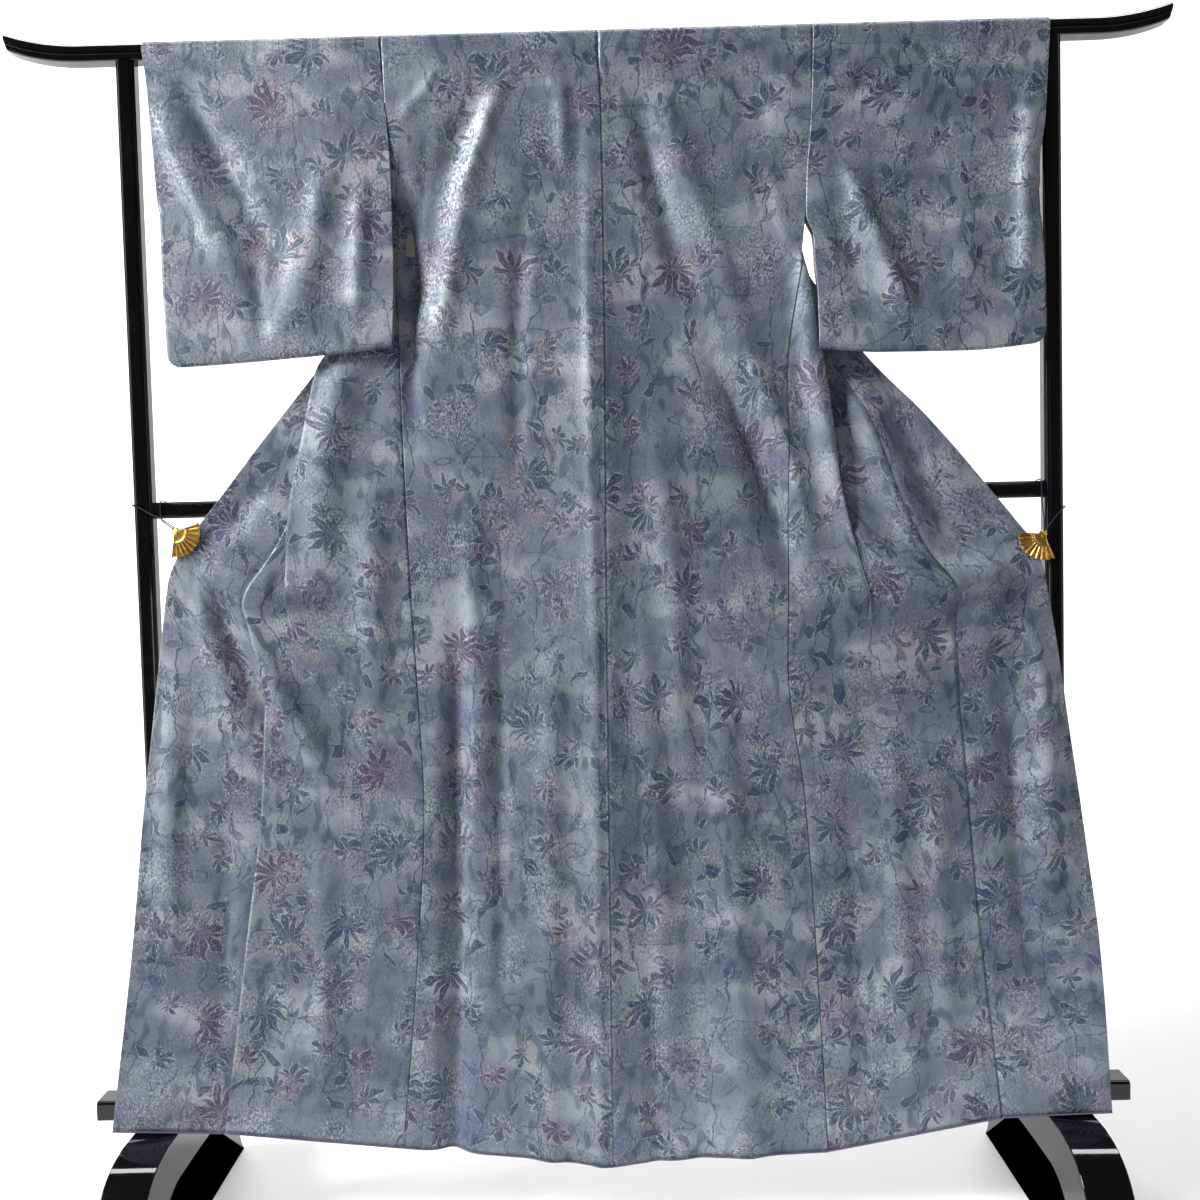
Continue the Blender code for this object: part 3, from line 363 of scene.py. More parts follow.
# %% The silk
# size, petals, reach, slimness, shift, share that is missing
BLOSSOMS = ((0.074, 8.0, 0.024, 0.16, 0.9, 0.10), (0.142, 12.0, 0.043, 0.11, 0.0, 0.08))


def figured_silk(name):
    """Haze, shadows of leaves, tendrils, stems, buds, sprays and blossoms, each laid over the last."""
    material, shader, tree = new_finish(name, metallic=0.25, specular_ior_level=0.80)
    flat = tree.node("ShaderNodeUVMap", {"uv_map": MAP})
    bent = flat.node("ShaderNodeVectorMath", {"operation": "MULTIPLY_ADD"},
                     {0: cloud(flat, 34.0, 30.0, 1.0, 5.0, output="Color"), 1: (0.022, 0.022, 0.0), 2: flat})
    split = flat.node("ShaderNodeSeparateXYZ", inputs={"Vector": flat})
    thread = chance_at((split["X"] * 850.0).floor(), (split["Y"] * 620.0).floor())
    slub = cloud(flat, 330.0, 210.0, 0.0, 3.0)
    fray = (thread - 0.5) * 0.0010 + (slub - 0.5) * 0.0024
    split = flat.node("ShaderNodeSeparateXYZ", inputs={"Vector": bent})
    u, v = split["X"], split["Y"]

    pale = cloud(flat, 10.0, 16.0, 1.0, 23.0)
    colour = (pale + fray * 90.0).fade(0.40, 0.68).over(GROUND, GROUND_PALE)
    colour = ((cloud(flat, 5.5, 7.0, 1.0, 11.0) + fray * 80.0).fade(0.44, 0.64) * 0.5).over(colour, TEAL_HAZE)
    colour = ((cloud(flat, 5.2, 13.5, 1.0, 0.0) + fray * 90.0).fade(0.46, 0.60) * 0.6).over(colour, LAVENDER)
    strength = cloud(flat, 11.0, 8.0, 0.0, 37.0).fade(0.36, 0.60)
    speckle = (thread + slub * 1.5).fade(1.15, 1.55)

    rim_grain, fill_grain = speckle * 0.60 + 0.16, 0.96 - speckle * 0.25

    def lay(base, depth, across, rib, fill, amount):
        """A petal with a speckled pale edge and a pale rib."""
        frayed = depth + fray
        inside = frayed.fade(-0.0003, 0.0008)
        rim = frayed.fade(-0.0016, -0.0003) - inside
        base = (rim * amount * rim_grain).over(base, EDGE_PALE)
        vein = abs(across).fade(rib * 0.3, rib)
        return (inside * amount * fill_grain * (vein * 0.45 + 0.55)).over(base, fill)

    # shadows of leaves in the ground, thin tendrils and long bare stems, then hanging buds
    shade = (cloud(flat, 70.0, 38.0, 0.0, 51.0) + fray * 60.0).fade(0.56, 0.68)
    colour = (shade * (0.25 + strength * 0.35)).over(colour, TEAL)
    tendril = abs((u * 19.0 + (v * 23.0).sin() * 0.22 + (v * 61.0).sin() * 0.06).part() - 0.5)
    colour = ((tendril + fray * 13.0).fade(0.025, 0.006) * (strength * 0.4 + 0.25)).over(colour, INDIGO)
    stems = abs(pale - 0.52) + fray * 3.0
    colour = (stems.fade(0.009, 0.003) * 0.55).over(colour, INDIGO)
    depth, across, stem, other = spray(u, v, 0.081, 0.052, 0.032, 0.0050, 2.45, 0.62, 0.014, 0.40)
    colour = lay(colour, depth, across, 0.0006, INDIGO, strength * 0.4 + 0.50)

    # leaf sprays on the long stems
    depth, across, stem, other = spray(u, v, 0.104, 0.036, 0.032, 0.0070, 0.95, 0.0, 0.016, 0.22)
    colour = ((stem + fray * 0.7).fade(0.0015, 0.0005) * 0.75).over(colour, INDIGO)
    leaf = (other * 5.0).part().fade(0.3, 0.7).over(INDIGO, TEAL)
    colour = lay(colour, depth, across, 0.0008, leaf, strength * 0.5 + 0.45)

    # small blossoms and open blossoms, each in a speckled pale halo
    for size, petals, reach, slim, moved, rarely in BLOSSOMS:
        place = shift(bent, moved, moved * 0.6)
        depth, across, radius, second, third = blossom(place, size, petals, reach, slim)
        halo = radius.fade(reach * 1.3, reach * 0.3) * speckle
        colour = (halo * 0.38).over(colour, third.fade(0.55, 0.75).over(EDGE_PALE, PEACH))
        fill = second.fade(0.72, 0.76).over(third.fade(0.5, 0.6).over(INDIGO, TEAL), PLUM)
        colour = lay(colour, depth, across, 0.0007, fill, third.fade(rarely, rarely + 0.2))

    colour = colour.node("ShaderNodeHueSaturation", inputs={
        "Color": colour, "Value": 0.60 + thread * 0.36 + slub * 0.56 - strength * 0.12})
    plug(colour, shader, "Base Color")
    plug(0.60 - slub * 0.26 + thread * 0.12, shader, "Roughness")
    weave = thread * 0.5 + slub * 1.2
    plug_bump(weave, shader, 0.25, 0.0004)
    print(name, len(material.node_tree.nodes), "nodes")
    return material


# %% [markdown]
# ## Lining
# Inside, a kimono is lined in plain silk: cream that has greyed with age above the hips, and a dusky
# purple skirt lining below, which is turned over the hem as a thin roll. Plain silk shows as its crossed
# threads. Here they are two sets of noise, each drawn out along one direction of the cloth's map.
# %% Lining and skirt lining
LINING = tone(150, 144, 132)
SKIRT_LINING = tone(86, 80, 104)
SKIRT_FROM = 0.70           # height where the skirt lining begins


def plain_silk(name, upper, lower):
    """Plain silk, with one colour above the height SKIRT_FROM and another below it."""
    material, shader, tree = new_finish(name, sheen_weight=0.2)
    flat = tree.node("ShaderNodeUVMap", {"uv_map": MAP})
    height = tree.node("ShaderNodeTexCoord", output="Object")
    height = height.node("ShaderNodeSeparateXYZ", inputs={"Vector": height}, output="Z")
    scales = ((900.0, 40.0), (40.0, 900.0), (6.0, 4.0))
    threads = [cloud(flat, *scale, 1.0, roughness=0.5) for scale in scales]
    crossed = threads[0] + threads[1]
    colour = height.fade(SKIRT_FROM - 0.001, SKIRT_FROM + 0.001).over(lower, upper)
    colour = colour.node("ShaderNodeHueSaturation", inputs={
        "Color": colour, "Value": 0.72 + crossed * 0.22 + threads[2] * 0.12})
    plug(colour, shader, "Base Color")
    plug(0.62 - crossed * 0.10, shader, "Roughness")
    plug_bump(crossed, shader, 0.2, 0.0003)
    print(name, len(material.node_tree.nodes), "nodes")
    return material


# %% [markdown]
# ## Black lacquer
# The stand is wood under many coats of black lacquer, each one ground flat and the last one polished.
# It is nearly a mirror, but never quite flat: a faint swell bends the reflections, and wiping leaves
# hair-fine lines that only show where a light catches them. So the colour hardly changes, and the
# work is in the roughness and the bump.
# %% Lacquer
def lacquer(name, seed):
    material, shader, tree = new_finish(name, specular_ior_level=0.4, coat_weight=0.15, coat_roughness=0.03)
    noise = noise_on(tree, seed)
    dust = noise(900.0, 0.0).fade(0.70, 0.78) * noise(14.0, 2.0).fade(0.45, 0.70)
    plug((dust * 0.35).over(tone(7, 7, 9), tone(70, 68, 66)), shader, "Base Color")
    wiped = noise(8.0, 3.0).fade(0.40, 0.75) * 0.05
    hairs = noise(40.0, 1.0, (1.0, 8.0, 0.3)).fade(0.60, 0.72) * 0.06
    plug(0.055 + wiped + hairs + dust * 0.3, shader, "Roughness")
    swell = noise(22.0, 1.0) + noise(240.0, 1.0) * 0.06
    plug_bump(swell, shader, 0.12, 0.002)
    return material


# %% [markdown]
# ## Gilt metal
# The clips are pressed from thin brass and gilded. Random patches of the gilt are painted darker and
# warmer, as painted shade standing in for the shade in the pleats' hollows, and they are also duller.
# The press has left fine lines in it.
# %% Gilt
def gilt(name, seed):
    material, shader, tree = new_finish(name, metallic=1.0)
    noise = noise_on(tree, seed)
    # painted shade: random patches that darken and warm the gilt's colour, and also make it duller
    shade_and_dull_patches = noise(160.0, 3.0).fade(0.40, 0.66)
    grain = noise(1500.0, 1.0, (1.0, 1.0, 0.25))
    plug(shade_and_dull_patches.over(tone(222, 182, 104), tone(176, 128, 58)), shader, "Base Color")
    plug(0.24 + shade_and_dull_patches * 0.16 + grain * 0.14, shader, "Roughness")
    pressed = grain * 0.5 + noise(500.0, 2.0)
    plug_bump(pressed, shader, 0.25, 0.0003)
    return material


# %% [markdown]
# ## Silk cord
# The clips' cords are purple silk, twisted from three strands. The strands are modelled, so the finish
# only adds single filaments that run along them, some a little lighter than others.
# %% Cord silk
def cord_silk(name):
    material, shader, tree = new_finish(name, sheen_weight=0.05, specular_ior_level=0.25)
    flat = tree.node("ShaderNodeUVMap", {"uv_map": MAP})
    filament = cloud(flat, 9000.0, 300.0, 1.0, roughness=0.5)
    plug(filament.fade(0.3, 0.7).over(tone(18, 12, 34), tone(44, 30, 74)), shader, "Base Color")
    plug(0.45 + filament * 0.25, shader, "Roughness")
    plug_bump(filament, shader, 0.3, 0.0002)
    return material


print("plain finishes ready")

# %% [markdown]
# ## The cloth's guides
# A kimono is cut in straight strips: each body strip runs from the back hem over the shoulder to the
# front hem, and the overlap strips, sleeves and collar are sewn to it. Such cloth could be simulated,
# but a simulation wouldn't stop at these very folds. So the places of seams, edges and pleat lines are
# kept in short tables in millimetres, read smoothly along their first column. x' runs outward from the
# kimono's middle, and drop runs down from the top of the rail.
# %% A table that is read smoothly
def smooth(knots, values, at):
    """A curve through the knots without overshoot, level beyond its ends."""
    at = np.clip(at, knots[0], knots[-1])
    step = np.diff(knots)
    slope = np.diff(values) / step
    same = slope[1:] * slope[:-1] > 0
    total = np.where(same, slope[1:] + slope[:-1], 1.0)
    within = np.where(same, 2 * slope[1:] * slope[:-1] / total, 0.0)
    tangent = np.concatenate(([slope[0]], within, [slope[-1]]))
    i = np.clip(np.searchsorted(knots, at) - 1, 0, len(step) - 1)
    t = (at - knots[i]) / step[i]
    start = (1 + 2 * t) * (1 - t) ** 2 * values[i] + t * (1 - t) ** 2 * step[i] * tangent[i]
    end = t * t * (3 - 2 * t) * values[i + 1] + t * t * (t - 1) * step[i] * tangent[i + 1]
    return start + end


def reach_along(points):
    """How far along the line through the points each of them lies."""
    return np.concatenate(([0.0], np.cumsum(np.linalg.norm(np.diff(points, axis=0), axis=1))))


MILLIMETRES = 1000          # in a metre; the tables are in millimetres, and all else is in metres


class Guide:
    """A short table with named columns, read smoothly along its first column."""

    def __init__(self, columns, *rows):
        self.names = columns.split()
        units = [1 if name.endswith("degrees") else MILLIMETRES for name in self.names]
        self.rows = np.array(rows, dtype=float) / units

    def __call__(self, column, at):
        return smooth(self.rows[:, 0], self.rows[:, self.names.index(column)], at)

    def place(self, at):
        """All the other columns at once."""
        return np.array([self(column, at) for column in self.names[1:]])


def metres(table):
    """A table of tables with each of its millimetres turned into metres."""
    return tuple(metres(item) if isinstance(item, tuple) else item / MILLIMETRES for item in table)


def ramp(start, end, value):
    """0 at start, 1 at end, easing at both."""
    t = np.clip((value - start) / (end - start), 0.0, 1.0)
    return t * t * (3 - 2 * t)


# %% Stand and cloth sizes
SIDES = (("left", -1.0), ("right", 1.0))
GAP = 0.0003                # between pieces that touch

RAIL_TOP = 1.760
RAIL_HEIGHT = 0.027
RAIL_RADIUS = 0.015         # of the round top, and half of the rail's depth

KIMONO_X = 0.012            # the kimono hangs a little to the right of the stand's middle
SEAM = 0.0007               # between the middle lines of two sewn edges
WRAP_CENTRE = 0.0152        # drop of the rail's round axis
FOLD_RADIUS = 0.002         # half the distance between two layers at a pleat
PLEAT_START = 0.007         # a leg shorter than this only turns up, before the pleat doubles back

# drops of the strips' main rows; finer rows go between them
HANG_ROWS = (WRAP_CENTRE, 0.026, 0.04, 0.08, 0.13, 0.18, 0.23, 0.28, 0.315, 0.335, 0.38, 0.43, 0.48, 0.53,
             0.58, 0.63, 0.68, 0.73, 0.78, 0.82, 0.86, 0.96, 1.12, 1.28, 1.46, 1.64)
ARMPIT = 0.335              # below it the side seams are sewn
LIP_START = 0.28            # from here down to the armpit a front's free edge turns toward the back panel
LIP = ((-0.0005, 0.0010), (-0.0012, 0.0025), (-0.0030, 0.0050))     # steps of that turn, in x' and y
ARMPIT_ROW = HANG_ROWS.index(ARMPIT)
PLEAT_END = 0.82            # drop where the front pleats run out, level with the clips
HEM_ROW = 1.64
FOLDS_FROM = (0.02, 0.09)   # rows over which the folds begin below the rail
BACK_EVEN_ROW = 0.13        # from here down the back's columns are evenly spaced
FRONT_WIDTH = 0.25          # of a front panel, from the side seam to the overlap's seam
OKUMI_START = 0.23
print("main rows:", len(HANG_ROWS))

# %% Seams, edges and pleat lines
CENTRE = Guide("row x y", (0, 5, -16.5), (100, 4.5, -18.5), (250, 4, -21), (820, -4, -30), (1655, -14, -36))
SIDE = {
    "right": Guide("row x y", (0, 312, -16.5), (100, 309, -18.5), (200, 305, -20.5), (335, 289, -23.5),
                   (510, 264, -27), (730, 263, -30), (930, 258, -31), (1120, 279, -32), (1350, 292, -34),
                   (1640, 303, -42)),
    "left": Guide("row x y", (0, 307, -16.5), (100, 304, -18.5), (250, 300, -21.5), (335, 296.5, -23.5),
                  (425, 291, -25.5), (525, 290, -27.5), (730, 286, -30), (930, 279, -31), (1110, 274, -32),
                  (1340, 289, -34), (1640, 318, -42)),
}
HEM_DROP = {"centre": 1.655, "right": 1.640, "left": 1.622}
# depth of the free edge of a front, from behind the rail to the armpit
ARMHOLE = Guide("row y", (0, 16.5), (100, 16.5), (150, 13), (200, 6), (230, 0), (260, -8), (300, -16),
                (335, -22.5))
CREST = {
    "right": Guide("row x", (335, 292), (389, 304), (477, 317), (565, 327.5), (654, 338), (706, 348),
                   (741, 356), (820, 378)),
    "left": Guide("row x", (335, 300), (400, 345), (478, 414), (502, 421), (566, 435), (614, 446),
                  (661, 457), (720, 465), (820, 470)),
}
CREST_DEPTH = Guide("row y", (335, -20.3), (400, -20), (470, -21.5), (520, -24.5), (600, -26.5), (700, -27),
                    (820, -28.2))
VALLEY_DEPTH = Guide("row y", (15.2, 16.5), (26, 18.5), (40, 18.6), (100, 18.8), (200, 17.5), (280, 14),
                     (335, 10), (400, 3), (480, -4), (560, -13), (620, -17), (680, -18.5), (760, -22),
                     (820, -25.5))
# a front panel's inner edge: the collar down to the overlap's point, then the overlap's seam
INNER = {
    "right": Guide("row x drop", (0, 85, 0), (100, 145, 93), (200, 208, 190), (230, 221.5, 226),
                   (300, 255, 300), (400, 302, 400), (480, 338, 480), (574, 385, 574), (694, 429, 694),
                   (747, 455, 747), (820, 500, 820), (880, 503, 876), (1000, 510, 989), (1300, 528, 1271),
                   (1640, 558, 1590)),
    "left": Guide("row x drop", (0, 85, 0), (100, 151, 98), (200, 216, 195), (230, 233, 226),
                  (300, 268, 300), (400, 315, 400), (500, 362, 500), (600, 410, 600), (727, 480, 727),
                  (820, 532, 820), (860, 522, 857), (950, 506, 942), (1100, 512, 1083), (1350, 543, 1318),
                  (1640, 580, 1590)),
}
# depth of the inner edge, of the overlap's upper part and of the collar, by drop
COMING_FORWARD = ((200, 22.5), (280, 19), (335, 14), (400, 7), (480, -1), (560, -12.5), (620, -17.5),
                  (680, -18.5))
INNER_DEPTH = Guide("drop y", (0, 16.5), (14.7, 16.5), (24, 21.3), (60, 22.2), *COMING_FORWARD, (760, -21),
                    (820, -26.5), (1000, -30), (1300, -38), (1590, -50))
# the front's outer edge: the collar's seam down to the clip, then the free edge down to the hem
OUTER = {
    "right": Guide("row x drop", (0, 85, 0), (100, 146, 93), (200, 209, 189), (230, 229, 222),
                   (300, 270, 292), (400, 327, 385), (500, 386, 474), (600, 466, 561), (700, 543, 654),
                   (780, 597, 722), (820, 622, 757), (860, 636, 801), (950, 650, 890), (1070, 664, 1008),
                   (1200, 680, 1135), (1400, 700, 1338), (1640, 709, 1575)),
    "left": Guide("row x drop", (0, 85, 0), (100, 152, 98), (200, 218, 194), (230, 240, 223),
                  (300, 284, 291), (400, 352, 387), (500, 420, 478), (600, 492, 570), (700, 563, 660),
                  (780, 605, 711), (820, 622, 735), (860, 641, 777), (950, 655, 870), (1070, 672, 1000),
                  (1200, 689, 1135), (1400, 708, 1338), (1640, 737, 1574)),
}
OUTER_DEPTH = Guide("drop y", *COMING_FORWARD, (757, -21.3), (845, -23.5), (1000, -29), (1200, -40),
                    (1400, -58), (1575, -70))

# %% Folds
# folds that stand out (height > 0) or sink (height < 0). Each one runs through three places, x' (here minus
# to the left) and drop: x0, d0, x1, d1, x2, d2, width, height
BACK_FOLDS = (
    (-135, 30, -190, 230, -245, 520, 17, 4.5),
    (-235, 100, -270, 300, -278, 620, 14, -4.5),
    (-105, 200, -120, 400, -128, 680, 13, -4),
    (-190, 620, -200, 950, -215, 1300, 16, 6),
    (-212, 740, -227, 1150, -250, 1660, 16, -6),
    (-158, 800, -162, 1100, -170, 1500, 12, -4.5),
    (-75, 750, -92, 1150, -105, 1660, 22, 7),
    (-16, 50, -20, 800, -30, 1660, 9, 2.2),
    (75, 40, 135, 220, 215, 470, 16, 4.8),
    (185, 400, 240, 550, 295, 700, 18, 4.5),
    (50, 70, 98, 250, 165, 470, 15, -4.5),
    (165, 470, 235, 680, 285, 860, 17, -5.5),
    (60, 450, 95, 800, 110, 1250, 22, 5.5),
    (150, 850, 175, 1200, 190, 1660, 24, 6),
    (40, 1000, 50, 1300, 55, 1660, 13, -3.5),
    (60, 1030, 140, 1100, 260, 1120, 10, -2),
    (-60, 30, -50, 100, -45, 220, 12, 4),
)
FRONT_FOLDS = (
    (286, 360, 300, 520, 350, 720, 13, 5),
    (395, 775, 480, 815, 600, 775, 18, 5),
    (340, 960, 450, 1010, 590, 970, 50, -6),
    (610, 820, 625, 1000, 640, 1300, 14, 7),
    (575, 900, 585, 1100, 600, 1400, 13, -4),
    (400, 950, 415, 1250, 430, 1600, 22, 6),
    (345, 1050, 352, 1300, 360, 1620, 16, -4),
    (-560, 800, -500, 900, -415, 1080, 20, 9),
    (-590, 775, -550, 860, -487, 1010, 16, -9),
    (-590, 745, -520, 790, -380, 810, 18, 8),
    (-625, 900, -640, 1100, -655, 1400, 14, 6),
    (-560, 1050, -570, 1250, -590, 1550, 14, -4),
    (-420, 1100, -430, 1300, -440, 1620, 20, 5.5),
    (-345, 600, -350, 850, -345, 1150, 20, 4.5),
)
SLEEVE_FOLDS = (
    (-645, 40, -583, 200, -500, 390, 20, 4.8),
    (-600, 60, -520, 220, -462, 330, 14, -4),
    (-385, 160, -405, 280, -440, 440, 18, 6),
    (-340, 200, -345, 320, -350, 430, 13, 4.5),
    (622, 50, 608, 220, 600, 430, 13, 5.5),
    (350, 170, 392, 300, 445, 450, 14, 8),
    (520, 30, 460, 70, 405, 120, 11, -3),
    (520, 180, 525, 300, 520, 440, 24, 5),
)
REAR_FOLDS = (
    (-560, 50, -520, 180, -470, 360, 20, -6),
    (-400, 80, -430, 220, -450, 400, 18, -5),
    (400, 60, 430, 200, 470, 400, 18, -6),
    (560, 80, 550, 220, 540, 420, 20, -5),
)


# %% Creases
# smaller creases in the finished cloth: width, height, and the places each one runs through
BODY_CREASES = (
    (20, 3.5, (-4, 30), (-8, 300), (-12, 600)),
    (42, 10, (-6, 250), (-12, 900), (-24, 1660)),
    (24, -8, (-150, 60), (-232, 220), (-272, 450)),
    (20, -9, (-285, 160), (-280, 280), (-274, 420)),
    (10, 4, (-112, 32), (-150, 110), (-200, 240)),
    (9, 3, (-205, 30), (-240, 80), (-290, 130)),
    (24, -10, (-216, 850), (-227, 1210), (-250, 1660)),
    (20, 4.5, (-160, 750), (-180, 950), (-200, 1150)),
    (16, -7, (50, 80), (85, 240), (125, 420)),
    (22, -12, (130, 420), (215, 600), (276, 780)),
    (16, 5, (200, 440), (270, 620), (300, 780)),
    (13, -5.5, (145, 35), (205, 90), (262, 155)),
    (11, 4.5, (195, 25), (245, 60), (300, 110)),
    (9, 3, (240, 200), (262, 270), (278, 340)),
    (20, 4.5, (45, 700), (55, 1000), (60, 1500)),
    (22, -5, (85, 950), (110, 1250), (120, 1660)),
    (8, -3, (170, 1085), (235, 1120), (300, 1140)),
    (19, 13, (288, 260), (300, 380), (316, 500), (326, 600), (336, 680)),
    (24, 15, (336, 600), (345, 685), (368, 735), (398, 768), (440, 793), (500, 806), (545, 795), (580, 778),
     (625, 750)),
    (26, -10, (345, 830), (400, 865), (470, 885), (560, 870)),
    (60, 10, (330, 780), (420, 830), (520, 845), (600, 810)),
    (34, 20, (340, 460), (376, 550), (402, 620), (428, 680), (458, 740), (500, 795)),
    (18, -8, (392, 490), (432, 580), (456, 640), (482, 700), (508, 750)),
    (30, 10, (-345, 400), (-392, 560), (-415, 700), (-420, 820)),
    (12, 6, (-605, 750), (-569, 788), (-524, 815), (-480, 835)),
    (16, 6, (-608, 775), (-592, 840), (-573, 905), (-535, 1020)),
    (22, 5, (-545, 860), (-500, 930), (-440, 1000), (-390, 1120)),
    (20, -5, (-600, 720), (-540, 690), (-490, 620)),
    (20, 5, (-330, 620), (-335, 800), (-330, 1000)),
    (18, 8, (625, 840), (642, 1000), (662, 1250)),
    (20, -7, (575, 900), (588, 1100), (600, 1400)),
    (20, 5, (460, 1000), (475, 1250), (490, 1580)),
    (20, -5, (-500, 1150), (-510, 1350), (-520, 1580)),
    (16, 5, (-630, 850), (-650, 1050), (-670, 1300)),
)
SLEEVE_CREASES = (
    (9, 3, (-640, 90), (-600, 190), (-545, 300)),
    (14, -4, (-610, 50), (-540, 160), (-490, 260)),
    (12, 3, (-430, 240), (-440, 340), (-465, 450)),
    (10, -4, (-500, 300), (-490, 380), (-480, 450)),
    (12, 5, (340, 180), (392, 310), (452, 440)),
    (14, -6, (330, 240), (360, 340), (395, 450)),
    (16, 5, (636, 60), (616, 220), (608, 420)),
    (9, 3, (330, 100), (365, 60), (420, 30)),
    (10, -3, (345, 130), (385, 90), (440, 50)),
    (12, 4, (455, 390), (480, 430), (490, 470)),
)
# creases pressed in by storage: they run from (x0, d0) to (x1, d1) and step out by a size
PRESSED = (
    (-290, 350, 290, 352, 0.15),
    (-270, 650, -10, 655, 0.15),
    (-350, 1125, -240, 1130, 0.5),
    (140, 1132, 340, 1128, 0.5),
)

# %% [markdown]
# ## Folds in the cloth
# Where the cloth pulls, it stands up in a soft ridge or sinks in a trough. Each fold here is one row of
# a table: it runs through three places or more, and has a width and a height. All the folds of a panel
# are added up into one relief, so that they melt into each other as they do in silk.
# %% Add up the folds
FOLD_DEPTH = 1.1            # the finished folds stand a little higher than the solids' ones


def as_creases(folds):
    """Rows of the fold tables, in the order of the crease tables."""
    return tuple((f[6], f[7] * FOLD_DEPTH, f[0:2], f[2:4], f[4:6]) for f in folds)


def relief(folds, x, drop):
    """How far the cloth stands toward the viewer at x' (signed) and drop."""
    x, drop = np.broadcast_arrays(np.asarray(x, dtype=float), np.asarray(drop, dtype=float))
    rise = np.zeros(x.shape)
    for width, height, *places in folds:
        places = np.array(places)
        lengths = np.linalg.norm(np.diff(places, axis=0), axis=1)
        nearest = np.full(x.shape, np.inf)
        along = np.zeros(x.shape)
        for i, step in enumerate(np.diff(places, axis=0)):
            t = ((x - places[i, 0]) * step[0] + (drop - places[i, 1]) * step[1]) / lengths[i] ** 2
            t = np.clip(t, 0.0, 1.0)
            distance = np.hypot(x - places[i, 0] - t * step[0], drop - places[i, 1] - t * step[1])
            closer = distance < nearest
            nearest = np.where(closer, distance, nearest)
            along = np.where(closer, (lengths[:i].sum() + t * lengths[i]) / lengths.sum(), along)
        fades_out = ramp(1.0, 0.75, along) if places[-1, 1] < HEM_ROW else 1.0
        rise += height * ramp(0.0, 0.3, along) * fades_out * np.exp(-(nearest / width) ** 2)
    return rise


BODY_FOLDS = metres(as_creases(BACK_FOLDS + FRONT_FOLDS) + BODY_CREASES)
FRONT_SLEEVE_FOLDS = metres(as_creases(SLEEVE_FOLDS) + SLEEVE_CREASES)
REAR_SLEEVE_FOLDS = metres(as_creases(REAR_FOLDS))
print("folds:", len(BODY_FOLDS), "in the body,", len(FRONT_SLEEVE_FOLDS), "in the sleeves")


def world(sign, x, y, drop):
    """Places on the stand for guides on one side of the kimono."""
    x, y, drop = np.broadcast_arrays(x, y, drop)
    return np.stack([KIMONO_X + sign * x, y, RAIL_TOP - drop], axis=-1)


def below_pleat(row):
    """How far a row lies below the pleat's end, as a share of the way to the hem."""
    return np.clip((row - PLEAT_END) / (HEM_ROW - PLEAT_END), 0.0, None)


# %% [markdown]
# ## From rows of places to cloth
# A sheet of cloth is a grid whose points are moved to rows of places. `primitive_grid_add` makes such a
# grid with its map, and Solidify gives it a wall: the outer face shows the silk and the inner face the
# lining. The map holds true lengths in metres, across and along the strip, so that the woven pattern
# keeps its size and bends with the cloth.
# %% Make a sheet
CLOTH_SHELL = 0.0009


def fine_rows(rows, step, extra=()):
    """The solid's rows, with even ones between them and a few extra ones."""
    made = [rows[0]]
    for a, b in zip(rows, rows[1:]):
        count = max(1, math.ceil((b - a) / step - 1e-6))
        made += list(a + (b - a) * np.arange(1, count + 1) / count)
    made += [r for r in extra if rows[0] < r < rows[-1]]
    return np.array(sorted(set(np.round(made, 6))))


def set_map(mesh, across, along):
    """Each point's place on its strip, in metres, becomes the piece's own map."""
    mesh.uv_layers[0].name = MAP
    corner = np.empty(len(mesh.loops), dtype=np.int32)
    mesh.loops.foreach_get("vertex_index", corner)
    places = np.stack(np.broadcast_arrays(across, along), axis=-1).reshape(-1, 2)
    mesh.uv_layers[0].data.foreach_set("uv", places[corner].reshape(-1))


def sheet_piece(name, rows, across, along, materials, cut=None, thickness=CLOTH_SHELL, merge=0.0):
    """rows of places become a named wall of cloth; across and along give each point's place on the strip."""
    piece = grid(name, rows)
    mesh = piece.data
    set_map(mesh, across, along)
    for material in materials:
        mesh.materials.append(material)
    if cut is not None:
        bm = bmesh.new()
        bm.from_mesh(mesh)
        bm.faces.ensure_lookup_table()
        columns = np.shape(rows)[1] - 1
        gone = [face for i, face in enumerate(bm.faces) if cut(*divmod(i, columns))]
        bmesh.ops.delete(bm, geom=gone, context="FACES")
        bm.to_mesh(mesh)
        bm.free()
    if merge:
        bpy.ops.object.mode_set(mode="EDIT")
        bpy.ops.mesh.select_all(action="SELECT")
        bpy.ops.mesh.remove_doubles(threshold=merge)
        bpy.ops.object.mode_set(mode="OBJECT")
    bpy.ops.object.shade_smooth()
    piece.location = (0, 0, 0)
    wall = piece.modifiers.new("wall", "SOLIDIFY")
    wall.thickness = thickness
    wall.offset = 0.0
    wall.material_offset = 1 if len(materials) > 1 else 0
    bpy.ops.object.modifier_apply(modifier="wall")
    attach(piece, "root")
    print(name, len(piece.data.polygons) * 2, "triangles")
    return piece


def lengths_along(rows):
    """True length from the first place of each row, as (row, column)."""
    return np.array([reach_along(row) for row in rows])


def flat_area(rows):
    """The area of the sheet through the rows, in square metres."""
    down = rows[1:, :-1] - rows[:-1, :-1]
    over = rows[:-1, 1:] - rows[:-1, :-1]
    return float(np.linalg.norm(np.cross(down, over), axis=-1).sum())


# %% [markdown]
# ## The stand's bars
# Posts and bars are planed square, and a moulding plane has cut a quarter round between two small steps
# on each of their corners. Those corners draw the long bright lines down the black lacquer. A cube with a
# bevel wouldn't have the steps. So each bar starts as a flat outline, is extruded to its length, and
# gets a small bevel on every edge.
# %% A bar from its outline
ROUND_STEPS = 8
ARRIS = 0.0004              # bevel on the steps' edges


